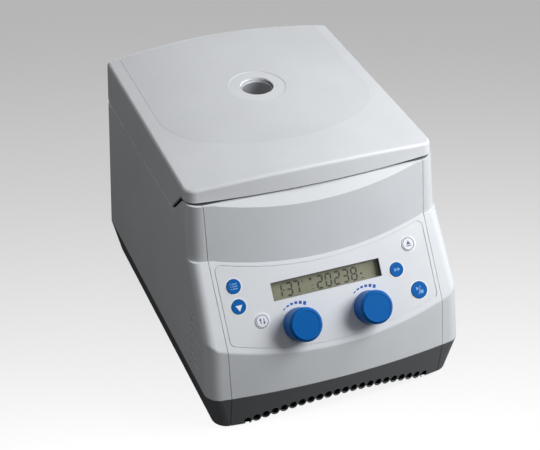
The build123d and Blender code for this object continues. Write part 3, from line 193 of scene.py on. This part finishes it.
def moulded_grain():
    """Spark-eroded texture of a moulding: fine pits, and a slow change of tone."""
    tree, given, out = new_group("moulded_grain", {"Grain": 2200.0, "Cloud": 14.0},
                                 ("Height", "Tone"))
    where = object_place(tree)
    pits = noise(tree, where, given["Grain"], detail=3.0, roughness=0.6)
    cells = put(tree, "TexVoronoi", {"Vector": where, "Scale": given["Grain"]},
                feature="SMOOTH_F1").outputs["Distance"]
    cloud = noise(tree, where, given["Cloud"], detail=4.0, roughness=0.55)
    fill(tree, out["Height"], calc(tree, "MULTIPLY", pits, cells))
    fill(tree, out["Tone"], spread(tree, cloud, 0, 1, start=0.3, end=0.7))
    return tree


def edge_wear_and_sheen():
    """1 on rubbed edges, 0 elsewhere: where a rounded normal leaves the true one, broken by noise;
    on the blue knob the colour laid there is partly a painted highlight.
    """
    tree, given, out = new_group("edge_wear_and_sheen", {"Radius": 0.0006, "Breakup": 90.0}, ("Mask",))
    rounded = put(tree, "Bevel", {"Radius": given["Radius"]}, samples=4).outputs[0]
    same = calc_vector(tree, "DOT_PRODUCT", rounded, true_normal(tree))
    edge = spread(tree, same, 1, 0, start=0.86, end=0.995)
    patches = noise(tree, object_place(tree), given["Breakup"], detail=5.0)
    share = spread(tree, patches, 0, 1, start=0.42, end=0.6)
    fill(tree, out["Mask"], calc(tree, "MULTIPLY", edge, share))
    return tree


def settled_dust():
    """Thin dust on what faces up, in specks and drifts."""
    tree, given, out = new_group("settled_dust", {"Amount": 0.2, "Speck": 700.0, "Drift": 22.0},
                                 ("Mask",))
    upward = put(tree, "SeparateXYZ", {0: true_normal(tree)}).outputs["Z"]
    facing = spread(tree, upward, 0, 1, start=0.2)
    where = object_place(tree)
    specks = noise(tree, where, given["Speck"], detail=2.0)
    drifts = noise(tree, where, given["Drift"], detail=4.0)
    dust = calc(tree, "MULTIPLY", spread(tree, specks, 0, 1, start=0.45, end=0.75),
                spread(tree, drifts, 0, 1, start=0.35, end=0.7))
    dust = calc(tree, "MULTIPLY", dust, given["Amount"])
    fill(tree, out["Mask"], calc(tree, "MULTIPLY", facing, dust))
    return tree


def turned_lines():
    """Fine rings about an upright axis, as a lathe or a spinning tool leaves them."""
    tree, given, out = new_group("turned_lines", {"Centre": (0.0, 0.0, 0.0), "Lines": 2600.0},
                                 ("Height", "Tone"))
    offset, radius = from_axis(tree, object_place(tree), given["Centre"])
    height = put(tree, "SeparateXYZ", {0: offset}).outputs["Z"]
    line = calc(tree, "MULTIPLY", calc(tree, "ADD", radius, height), given["Lines"])
    fine = noise(tree, put(tree, "CombineXYZ", {0: line}).outputs[0], 1.0, detail=3.0,
                 roughness=0.7)
    fill(tree, out["Height"], fine)
    fill(tree, out["Tone"], spread(tree, fine, 0, 1, start=0.3, end=0.7))
    return tree


def drawn_lines():
    """Straight rolling lines of sheet metal along one direction, with small spots."""
    tree, given, out = new_group(
        "drawn_lines", {"Stretch": (60.0, 2400.0, 2400.0), "Spots": 420.0}, ("Height", "Tone"))
    where = object_place(tree)
    drawn = calc_vector(tree, "MULTIPLY", where, given["Stretch"])
    fine = noise(tree, drawn, 1.0, detail=3.0, roughness=0.65)
    spots = put(tree, "TexVoronoi", {"Vector": where, "Scale": given["Spots"]})
    both = calc(tree, "ADD", fine, spread(tree, spots.outputs["Distance"], 0, 0.25))
    fill(tree, out["Height"], fine)
    fill(tree, out["Tone"], spread(tree, both, 0, 1, start=0.35, end=0.85))
    return tree


def lid_painted_light():
    """Masks for painted light on the lid's top: painted shade inside its field's curved front, and
    a painted lighter disc in the dish about its window.
    """
    tree, given, out = new_group("lid_painted_light", {"Centre": (0.0, 0.0, 0.0)}, ("Field", "Disc"))
    where = object_place(tree)
    place = put(tree, "SeparateXYZ", {0: where}).outputs
    across = calc(tree, "DIVIDE", place["X"], field_half_width)
    ahead = calc(tree, "SUBTRACT", place["Y"], field_middle_y)
    ahead = calc(tree, "DIVIDE", calc(tree, "MINIMUM", ahead, 0.0), field_reach)
    way_out = length(tree, put(tree, "CombineXYZ", {0: across, 1: ahead}).outputs[0])
    inside = calc(tree, "LESS_THAN", way_out, 1.0)
    fade = spread(tree, way_out, 0, 1, start=field_fade)
    fill(tree, out["Field"], calc(tree, "MULTIPLY", inside, fade))
    radius = from_axis(tree, where, given["Centre"])[1]
    fill(tree, out["Disc"], calc(tree, "LESS_THAN", radius, dish_r))
    return tree


groups = {make.__name__: make() for make in
          (moulded_grain, edge_wear_and_sheen, settled_dust, turned_lines, drawn_lines, lid_painted_light)}


def use(tree, group, **values):
    """Outputs of a group that is placed with its own values."""
    node = tree.nodes.new("ShaderNodeGroup")
    node.node_tree = groups[group]
    for label, value in values.items():
        node.inputs[label].default_value = value
    return node.outputs


# ---------------------------------------------------------------- finishes

def linear(r, g, b):
    """Screen colour from 0 to 255 as Blender's linear colour."""
    def channel(v):
        v = v / 255
        return v / 12.92 if v <= 0.04045 else ((v + 0.055) / 1.055) ** 2.4
    return (channel(r), channel(g), channel(b), 1.0)


# Patches and worn edges are shares of a finish's own colour. A gloss is how far the roughness
# strays from the finish's own, down and up.
plastic_patches = (0.965, 1.02)
plastic_worn = 1.08
plastic_gloss = (-0.04, 0.05)
plastic_bump = 0.5
plastic_wear_radius = 0.0006
plastic_dust = linear(176, 172, 164)
coat_rough = 0.12
metal_patches = (0.9, 1.05)
metal_worn = 1.25
metal_bump = 0.4
metal_wear_radius = 0.0004
metal_dust = linear(150, 147, 140)
metal_dust_amount = 0.1
clear_patches = (0.97, 1.0)
clear_gloss = (0.0, 0.03)
clear_ior = 1.49
ink_patches = (0.94, 1.04)
ink_gloss = (-0.05, 0.05)
ink_bump = 0.3
ink_grain_depth = 0.005


def shade(colour, factor):
    return tuple(v * factor for v in colour[:3]) + (1.0,)


def named(name):
    """The frame's own material of a slot, or a new one, with its nodes cleared."""
    material = bpy.data.materials.get(name) or bpy.data.materials.new(name)
    material.use_nodes = True
    material.node_tree.nodes.clear()
    tree = material.node_tree
    shader = put(tree, "BsdfPrincipled")
    output = put(tree, "OutputMaterial", {"Surface": shader.outputs[0]})
    return material, tree, shader, output


def patchy(tree, tone, colour, patches):
    return blend_colour(tree, tone, shade(colour, patches[0]), shade(colour, patches[1]))


def age_and_sheen(tree, body, worn_and_sheen, radius, dust, dust_colour):
    """Rub a colour at the edges, and lay dust on it; on the blue knob the edge colour is partly a
    painted highlight.
    """
    wear_and_sheen = use(tree, "edge_wear_and_sheen", Radius=radius)
    body = blend_colour(tree, wear_and_sheen["Mask"], body, worn_and_sheen)
    dusty = use(tree, "settled_dust", Amount=dust)
    return blend_colour(tree, dusty["Mask"], body, dust_colour)


def uneven_gloss(tree, shader, tone, rough, gloss):
    fill(tree, shader.inputs["Roughness"],
         spread(tree, tone, rough + gloss[0], rough + gloss[1]))


def bump(tree, shader, height, strength, depth):
    node = put(tree, "Bump", {"Strength": strength, "Distance": depth * mm, "Height": height})
    fill(tree, shader.inputs["Normal"], node.outputs[0])


def plastic(name, colour, rough, grain=2200.0, depth=0.02, dust=0.15, worn_and_sheen=None, coat=0.0,
            specular=0.5):
    """Moulding: textured, uneven in tone and gloss, dusty on top and rubbed at its edges; the blue
    knob's lighter edge colour is partly a painted highlight.
    """
    material, tree, shader, _ = named(name)
    texture = use(tree, "moulded_grain", Grain=grain)
    body = patchy(tree, texture["Tone"], colour, plastic_patches)
    body = age_and_sheen(tree, body, worn_and_sheen or shade(colour, plastic_worn), plastic_wear_radius, dust,
                plastic_dust)
    fill(tree, shader.inputs["Base Color"], body)
    uneven_gloss(tree, shader, texture["Tone"], rough, plastic_gloss)
    fill(tree, shader.inputs["Specular IOR Level"], specular)
    fill(tree, shader.inputs["Coat Weight"], coat)
    fill(tree, shader.inputs["Coat Roughness"], coat_rough)
    bump(tree, shader, texture["Height"], plastic_bump, depth)
    return material


def paint_lid_light(material):
    """Lay the lid's painted shade and painted light over the colour that its finish has."""
    tree = material.node_tree
    socket = tree.nodes["Principled BSDF"].inputs["Base Color"]
    body = socket.links[0].from_socket
    tone = use(tree, "lid_painted_light", Centre=tuple(rotor_axis))
    # painted shade in the field, painted light in the dish
    for mask, factor in ((tone["Field"], field_painted_shade), (tone["Disc"], dish_painted_light)):
        body = blend_colour(tree, mask, body, scaled(tree, body, factor))
    fill(tree, socket, body)


def metal(name, colour, rough, lines="drawn_lines", depth=0.004, polish=0.03, **values):
    """Bare or plated metal with the marks of its making; polish is the spread of its roughness."""
    _, tree, shader, _ = named(name)
    marks = use(tree, lines, **values)
    body = patchy(tree, marks["Tone"], colour, metal_patches)
    body = age_and_sheen(tree, body, shade(colour, metal_worn), metal_wear_radius, metal_dust_amount,
                metal_dust)
    fill(tree, shader.inputs["Base Color"], body)
    uneven_gloss(tree, shader, marks["Tone"], rough, (-polish, polish))
    fill(tree, shader.inputs["Metallic"], 1.0)
    bump(tree, shader, marks["Height"], metal_bump, depth)


def clear_plastic(name, tint, rough):
    """Clear moulding: sharp, hardly tinted, a little uneven in gloss; lamps shine through it."""
    _, tree, shader, output = named(name)
    fill(tree, shader.inputs["Transmission Weight"], 1.0)
    fill(tree, shader.inputs["IOR"], clear_ior)
    clear = put(tree, "BsdfTransparent", {"Color": tint})
    shadow = put(tree, "LightPath").outputs["Is Shadow Ray"]
    mix = put(tree, "MixShader", {0: shadow, 1: shader.outputs[0], 2: clear.outputs[0]})
    fill(tree, output.inputs["Surface"], mix.outputs[0])
    haze = use(tree, "moulded_grain", Grain=900.0, Cloud=30.0)
    fill(tree, shader.inputs["Base Color"], patchy(tree, haze["Tone"], tint, clear_patches))
    uneven_gloss(tree, shader, haze["Tone"], rough, clear_gloss)


def ink(name, colour, rough=0.45):
    """Screen-printed ink, a little uneven."""
    material, tree, shader, _ = named(name)
    film = use(tree, "moulded_grain", Grain=3200.0, Cloud=120.0)
    fill(tree, shader.inputs["Base Color"], patchy(tree, film["Tone"], colour, ink_patches))
    uneven_gloss(tree, shader, film["Tone"], rough, ink_gloss)
    bump(tree, shader, film["Height"], ink_bump, ink_grain_depth)
    return material


plastic("white_shell", linear(225, 229, 233), 0.48)
# lid_white carries the painted shade of its field and the painted light of its dish
paint_lid_light(plastic("lid_white", linear(224, 227, 231), 0.5))
plastic("liner_grey", linear(148, 150, 153), 0.55)
plastic("dark_base", linear(114, 116, 119), 0.68, dust=0.1, specular=0.15)
plastic("black_plastic", linear(30, 31, 33), 0.42, dust=0.25)
# blue_cap: its light edge colour is partly wear and partly a painted highlight along the knob's
# bevel
plastic("blue_cap", linear(6, 98, 176), 0.36, depth=0.006, dust=0.0, worn_and_sheen=linear(48, 130, 204),
        specular=0.14)
plastic("white_cap", linear(238, 241, 248), 0.38, depth=0.008, dust=0.05)
plastic("overlay_foil", linear(224, 227, 231), 0.36, grain=3000.0, depth=0.006, dust=0.05)
plastic("component_black", linear(34, 34, 36), 0.45)
plastic("deck_grey", linear(132, 134, 137), 0.55)
plastic("rubber_black", linear(34, 34, 35), 0.75, grain=1500.0, depth=0.03, dust=0.5)
plastic("gasket_grey", linear(92, 93, 95), 0.62, grain=1800.0, depth=0.01, dust=0.3)
plastic("motor_paint", linear(42, 43, 46), 0.35, dust=0.2)
plastic("ribbon_grey", linear(160, 160, 162), 0.5)
plastic("cap_sleeve", linear(30, 38, 66), 0.3, depth=0.004)
plastic("circuit_board", linear(24, 92, 50), 0.32, depth=0.006, coat=0.3)
plastic("lcd", linear(124, 123, 102), 0.22, grain=3400.0, depth=0.002, dust=0.0, coat=0.2)
clear_plastic("clear_lens", linear(248, 249, 250), 0.02)
metal("zinc_steel", linear(190, 191, 194), 0.34)
metal("stainless", linear(196, 197, 199), 0.24, "turned_lines", Centre=tuple(rotor_axis))
metal("steel_shaft", linear(206, 206, 208), 0.16)
metal("rotor_aluminium", linear(208, 211, 215), 0.42, "turned_lines", Centre=tuple(rotor_axis))
metal("heat_aluminium", linear(202, 203, 205), 0.3)
metal("copper_choke", linear(190, 112, 62), 0.3)
# painted shade: near-black finish of the sheet behind the front vents
vent_shade = plastic("vent_painted_shade", linear(12, 12, 13), 0.8, dust=0.0, specular=0.1)
inks = {
    "blue": ink("scale_blue", linear(16, 84, 168)),
    "pale": ink("icon_pale", linear(128, 176, 226)),
    "white": ink("icon_white", linear(238, 242, 248)),
    "dark": ink("icon_dark", linear(92, 98, 128)),
    "halo": ink("halo_white", linear(246, 249, 252)),
    "digit": ink("digit_dark", linear(10, 11, 9), 0.4),
}


# ---------------------------------------------------------------- places on the panel

def panel_height(node):
    """How high a node stands along the panel's normal."""
    return max(v.co.dot(panel_normal) for v in frame["nodes"][node].data.vertices)


def top_rim(node, depth):
    """A node's points that lie within depth of its highest one over the panel."""
    least = panel_height(node) - depth
    points = [v.co for v in frame["nodes"][node].data.vertices]
    return [p for p in points if p.dot(panel_normal) > least]


def top_middle(node):
    """Middle of a node's top face over the panel."""
    rim = top_rim(node, ink_lift)
    across = [p.x for p in rim]
    along = [p.dot(panel_up) for p in rim]
    middle = Vector(((min(across) + max(across)) / 2, 0, 0))
    return (middle + panel_up * (min(along) + max(along)) / 2
            + panel_normal * panel_height(node))


def cap_radius(node):
    """Radius in mm of a round cap at its full width."""
    across = [p.x for p in top_rim(node, cap_depth)]
    return (max(across) - min(across)) / 2 / mm


def on_foil(place):
    """Point of the control foil's top straight under or over a place."""
    return place + panel_normal * (panel_height("control_overlay") - place.dot(panel_normal))


def on_panel(centre):
    """Matrix that lays a drawing, x right and y up the slope, on the panel about centre."""
    turn = Matrix((Vector((1, 0, 0)), panel_up, panel_normal)).transposed().to_4x4()
    return Matrix.Translation(centre + panel_normal * ink_lift) @ turn


# ---------------------------------------------------------------- drawing in mm

def shape(mesh, corners):
    """Flat face from a few corners."""
    mesh.faces.new([mesh.verts.new((x * mm, y * mm, 0)) for x, y in corners])


def bar(mesh, x, y, width, height, slant=0.0):
    """Bar about (x, y); slant moves its top to the right and its foot to the left."""
    w, h = width / 2, height / 2
    shape(mesh, [(x - w - slant, y - h), (x + w - slant, y - h),
                 (x + w + slant, y + h), (x - w + slant, y + h)])


def triangle(mesh, x, y, size, turn):
    """Triangle about (x, y) that points turn degrees from the right."""
    angles = [math.radians(turn + a) for a in (0, 120, 240)]
    shape(mesh, [(x + size * math.cos(a), y + size * math.sin(a)) for a in angles])


def ring(mesh, inner, outer, steps=64):
    made = bmesh.ops.create_circle(mesh, cap_ends=True, segments=steps, radius=outer * mm)
    face = made["verts"][0].link_faces[0]
    width = (outer - inner) * math.cos(math.pi / steps)
    bmesh.ops.inset_individual(mesh, faces=[face], thickness=width * mm, use_even_offset=True)
    bmesh.ops.delete(mesh, geom=[face], context="FACES_ONLY")


def thicken(mesh, offset):
    """Give flat faces the thickness offset, as closed solids."""
    made = bmesh.ops.extrude_face_region(mesh, geom=mesh.faces[:], use_keep_orig=True)
    raised = [item for item in made["geom"] if isinstance(item, bmesh.types.BMVert)]
    bmesh.ops.translate(mesh, verts=raised, vec=offset)


def add_piece(name, mesh, material, body):
    bmesh.ops.recalc_face_normals(mesh, faces=mesh.faces[:])
    data = bpy.data.meshes.new(name)
    mesh.to_mesh(data)
    mesh.free()
    data.materials.append(material)
    piece = bpy.data.objects.new(name, data)
    scene.collection.objects.link(piece)
    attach(piece, body)


def printed(name, parts, centre, material, body):
    """Printed mark about centre. parts are drawing functions, each with its values."""
    mesh = bmesh.new()
    for draw, *values in parts:
        draw(mesh, *values)
    for face in mesh.faces:
        face.normal_update()
        if face.normal.z < 0:
            face.normal_flip()
    thicken(mesh, (0, 0, ink_height))
    mesh.transform(on_panel(centre))
    add_piece(name, mesh, material, body)


# ---------------------------------------------------------------- display

digit_width = 6.2
digit_height = 12.0
digit_stroke = 1.5
digit_gap = 0.22            # from a segment's end to the corner where the next one starts
digit_slant = 0.045         # sideways per mm of height
digit_pitch = 8.0
reading_drop = -0.9
time_digits = (1, 3, 7)
time_places = (-42.5, -33.0, -26.5)
speed_digits = (2, 0, 2, 3, 8)
speed_start = -4.8          # middle of the speed's first digit
segments_lit = {            # top, upper left, upper right, middle, lower left, lower right, bottom
    0: "1110111", 1: "0010010", 2: "1011101", 3: "1011011", 7: "1010010", 8: "1111111"}
small_marks = (             # middle, width, height, slant
    (-38.3, reading_drop, 1.8, 1.1, 0.0),       # dash after the first digit
    (-20.4, 3.1, 0.7, 2.2, 0.15),               # minutes tick
    (-12.8, 3.4, 2.2, 2.2, 0.0),                # running lamp
    (-12.2, -2.2, 1.5, 0.5, 0.0),               # flags under it
    (-12.0, -5.2, 1.5, 0.5, 0.0),
    (33.8, -2.0, 1.7, 1.7, 0.0),                # speed set mark
    (34.4, -6.1, 3.4, 0.8, 0.0),                # line under it
)


def digit(mesh, x, number):
    """Seven-segment digit; each segment is a bar with pointed ends."""
    w = (digit_width - digit_stroke) / 2
    h = (digit_height - digit_stroke) / 2
    half = digit_stroke / 2
    ends = ((-w, h, w, h), (-w, 0, -w, h), (w, 0, w, h), (-w, 0, w, 0),
            (-w, -h, -w, 0), (w, -h, w, 0), (-w, -h, w, -h))
    for lit, (x0, y0, x1, y1) in zip(segments_lit[number], ends):
        if lit == "0":
            continue
        along = Vector((x1 - x0, y1 - y0)).normalized()
        side = Vector((-along.y, along.x)) * half
        start = Vector((x0, y0)) + along * digit_gap
        end = Vector((x1, y1)) - along * digit_gap
        inset = along * half
        corners = (start, start + inset - side, end - inset - side,
                   end, end - inset + side, start + inset + side)
        shape(mesh, [(x + p.x + p.y * digit_slant, p.y + reading_drop) for p in corners])


def reading(mesh):
    for x, number in zip(time_places, time_digits):
        digit(mesh, x, number)
    for i, number in enumerate(speed_digits):
        digit(mesh, speed_start + i * digit_pitch, number)
    for mark in small_marks:
        bar(mesh, *mark)


# ---------------------------------------------------------------- knob scales and buttons

# Marks that grow clockwise, at angles from straight up the slope
scale_radius = 18.6
scale_start = -34.0
scale_step = 12.2
scale_count = 6
scale_length = 2.6          # of a mark, round the knob
scale_thin = 1.0
scale_thick = 3.1


def growing_scale(mesh):
    for i in range(scale_count):
        thick = scale_thin + (scale_thick - scale_thin) * i / (scale_count - 1)
        turn = Matrix.Rotation(-math.radians(scale_start + i * scale_step), 2)
        w, h = scale_length / 2, thick / 2
        corners = ((-w, -h), (w, -h), (w, h), (-w, h))
        shape(mesh, [turn @ Vector((x, scale_radius + y)) for x, y in corners])


halo_gap = 0.35             # printed ring outside the cap's hole
halo_width = 0.9
rim_inset = 0.75            # ring on the white caps
rim_width = 0.55
button_icons = {            # tone, and the icon's parts in mm from the cap's middle
    "button_mode": ("pale", [(bar, x, y, width, 0.9) for y in (2.0, -0.1, -2.2)
                             for x, width in ((0.75, 4.6), (-2.75, 0.9))]),
    "button_down": ("white", [(triangle, 0, -0.6, 3.5, -90)]),
    "button_unit": ("dark", [(triangle, -1.5, 1.6, 1.5, 90), (bar, -1.5, -0.7, 0.75, 3.1),
                             (triangle, 1.5, -1.6, 1.5, -90), (bar, 1.5, 0.7, 0.75, 3.1)]),
    "button_lid": ("dark", [(triangle, 0, 0.7, 2.3, 90), (bar, 0, -1.7, 4.4, 0.8)]),
    "button_short": ("pale", [(triangle, x, 0, 1.8, 0) for x in (-1.5, 1.5)]),
    "button_start": ("pale", [(triangle, -1.9, 1.6, 1.9, 0), (bar, 1.8, -1.7, 2.9, 2.9),
                              (bar, 0.1, 0, 0.6, 7.6, 1.5)]),
}


def print_panel():
    for knob, centre in knob_centres.items():
        printed(knob + "_scale", [(growing_scale,)], on_foil(centre), inks["blue"],
                "root")
    printed("display_reading", [(reading,)], top_middle("display_module"), inks["digit"],
            "root")


def print_buttons():
    """Icon and pale halo of each button, and a thin ring on the white caps."""
    for name, (tone, icon) in button_icons.items():
        middle = top_middle(name)
        radius = cap_radius(name)
        printed(name + "_mark", icon, middle, inks[tone], name)
        if tone == "dark":
            rim = (ring, radius - rim_inset - rim_width, radius - rim_inset)
            printed(name + "_rim", [rim], middle, inks[tone], name)
        halo = (ring, radius + halo_gap, radius + halo_gap + halo_width)
        printed(name + "_halo", [halo], on_foil(middle), inks["halo"], "root")


# ---------------------------------------------------------------- rocker marks and painted vent shade

# On and off marks of the rocker, in mm
rocker_mark_z = 5.4         # above and below its middle
on_mark_width = 0.8
on_mark_height = 4.0
off_mark_r = 2.0
off_mark_width = 0.7

# Painted shade behind the front vents, in mm: a dark sheet in the same row of holes as the
# grille's, standing in for the shade inside the base
screen_count = 22
screen_pitch = 8.1
screen_end_z = 6.2          # middle of the outermost vents
screen_rise = 12.4          # how much higher the middle ones are
screen_half_width = 3.5
screen_half_height = 4.2
screen_thickness = 1.2
screen_low_z = 3.6          # nothing hangs lower
screen_start_y = -60        # between here and the front, only the grille is asked for its surface
screen_sides = 32


def surface_of(node):
    """A node's surface, to send rays at."""
    data = frame["nodes"][node].data
    faces = [tuple(polygon.vertices) for polygon in data.polygons]
    return BVHTree.FromPolygons([v.co for v in data.vertices], faces)


def print_rocker():
    """Bar above and ring below the rocker's middle, laid on its bent face from behind."""
    surface = surface_of("power_rocker")
    low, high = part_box("power_rocker")
    mesh = bmesh.new()
    bar(mesh, 0, rocker_mark_z, on_mark_width, on_mark_height)
    on_mark = set(mesh.verts)
    ring(mesh, off_mark_r - off_mark_width, off_mark_r)
    off_mark = [v for v in mesh.verts if v not in on_mark]
    bmesh.ops.translate(mesh, verts=off_mark, vec=(0, -rocker_mark_z * mm, 0))
    for vert in mesh.verts:
        start = Vector(((low[0] + high[0]) / 2 + vert.co.x, high[1] + ray_lead,
                        (low[2] + high[2]) / 2 + vert.co.y))
        hit = surface.ray_cast(start, Vector((0, -1, 0)))[0]
        vert.co = hit + Vector((0, ink_lift, 0))
    thicken(mesh, (0, ink_height, 0))
    add_piece("rocker_marks", mesh, inks["white"], "power_rocker")


def paint_vent_shade():
    """Painted shade: one dark oval behind each front vent, against the back of the grille."""
    surface = surface_of("front_vent_grille")
    end_x = screen_pitch * (screen_count - 1) / 2
    radius = (end_x ** 2 + screen_rise ** 2) / (2 * screen_rise)
    mesh = bmesh.new()
    for i in range(screen_count):
        x = screen_pitch * i - end_x
        z = screen_end_z + screen_rise - (radius - math.sqrt(radius ** 2 - x ** 2))
        oval = bmesh.ops.create_circle(mesh, cap_ends=True, segments=screen_sides,
                                       radius=1.0)["verts"]
        caught, missed = [], []
        for vert in oval:
            height = max(z + vert.co.y * screen_half_height, screen_low_z)
            start = Vector((x + vert.co.x * screen_half_width, screen_start_y, height)) * mm
            hit = surface.ray_cast(start, Vector((0, -1, 0)))[0]
            vert.co = start if hit is None else hit + Vector((0, ink_lift, 0))
            (missed if hit is None else caught).append(vert)
        for vert in missed:
            vert.co.y = sum(v.co.y for v in caught) / len(caught)
    thicken(mesh, (0, screen_thickness * mm, 0))
    add_piece("vent_shade_sheet", mesh, vent_shade, "root")


# ---------------------------------------------------------------- studio

def place_camera():
    camera = bpy.data.objects.new("camera", bpy.data.cameras.new("camera"))
    scene.collection.objects.link(camera)
    forward = (camera_target - camera_place).normalized()
    right = forward.cross(Vector((0, 0, 1))).normalized()
    up = right.cross(forward)
    turned_right = right * math.cos(camera_roll) + up * math.sin(camera_roll)
    turned_up = up * math.cos(camera_roll) - right * math.sin(camera_roll)
    turn = Matrix((turned_right, turned_up, -forward)).transposed().to_4x4()
    camera.matrix_world = Matrix.Translation(camera_place) @ turn
    camera.data.lens = camera_lens
    camera.data.sensor_width = camera_sensor
    camera.data.clip_start = 0.02
    camera.data.clip_end = 40
    scene.camera = camera


def backdrop_grade(tree):
    """Brightness of the paper, from 1 in its pale patch to paper_grey all round."""
    where = object_place(tree)
    away = calc_vector(tree, "DOT_PRODUCT", where, tuple(ground_forward))
    side = calc_vector(tree, "DOT_PRODUCT", where, tuple(ground_side * paper_side))
    ahead = calc(tree, "SUBTRACT", away, paper_middle)
    distance = length(tree, put(tree, "CombineXYZ", {0: ahead, 1: side}).outputs[0])
    near = spread(tree, distance, 0, 1, start=paper_reach, end=paper_flat)
    return spread(tree, calc(tree, "POWER", near, paper_curve), paper_grey, 1.0)


def paper(name):
    """Studio paper: pale with a soft shadow where it is seen, but dark as a source of light."""
    material, tree, bounce, output = named(name)
    fill(tree, bounce.inputs["Base Color"], (paper_bounce, paper_bounce, paper_bounce, 1))
    fill(tree, bounce.inputs["Roughness"], paper_rough)
    grade = backdrop_grade(tree)
    grey = put(tree, "CombineColor", {0: grade, 1: grade, 2: grade}).outputs[0]
    shaded = put(tree, "BsdfDiffuse", {"Color": scaled(tree, grey, paper_lit)})
    glow = put(tree, "Emission", {"Color": grey, "Strength": paper_glow})
    seen = put(tree, "AddShader", {0: shaded.outputs[0], 1: glow.outputs[0]})
    path = put(tree, "LightPath").outputs
    direct = calc(tree, "MAXIMUM", path["Is Camera Ray"], path["Is Transmission Ray"])
    mix = put(tree, "MixShader", {0: direct, 1: bounce.outputs[0], 2: seen.outputs[0]})
    fill(tree, output.inputs["Surface"], mix.outputs[0])
    return material


def lay_floor():
    mesh = bmesh.new()
    bmesh.ops.create_grid(mesh, x_segments=1, y_segments=1, size=floor_reach)
    data = bpy.data.meshes.new("floor")
    mesh.to_mesh(data)
    mesh.free()
    floor = bpy.data.objects.new("floor", data)
    scene.collection.objects.link(floor)
    data.materials.append(paper("studio_paper"))


def light_world():
    """Even light from all round, seen as the wall's grey."""
    world = bpy.data.worlds.new("studio")
    scene.world = world
    world.use_nodes = True
    tree = world.node_tree
    tree.nodes.clear()
    seen = put(tree, "LightPath").outputs["Is Camera Ray"]
    strength = spread(tree, seen, ambient_level, paper_grey)
    sky = put(tree, "Background", {"Color": (1, 1, 1, 1), "Strength": strength})
    put(tree, "OutputWorld", {"Surface": sky.outputs[0]})


def soft_lamp(name, place, width, level):
    """Square lamp; level 1 lights a white sheet that faces it to plain white."""
    lamp = bpy.data.objects.new(name, bpy.data.lights.new(name, "AREA"))
    scene.collection.objects.link(lamp)
    lamp.data.size = width
    lamp.visible_camera = False
    way = Vector(lamp_aim) - Vector(place)
    lamp.data.energy = level * (math.pi * way.length) ** 2
    turn = way.to_track_quat("-Z", "Y").to_matrix().to_4x4()
    lamp.matrix_world = Matrix.Translation(place) @ turn


place_camera()
lay_floor()
light_world()
for lamp in lamps:
    soft_lamp(*lamp)
scene.view_settings.view_transform = "Standard"
print_panel()
print_buttons()
print_rocker()
# painted shade behind the front vents
paint_vent_shade()
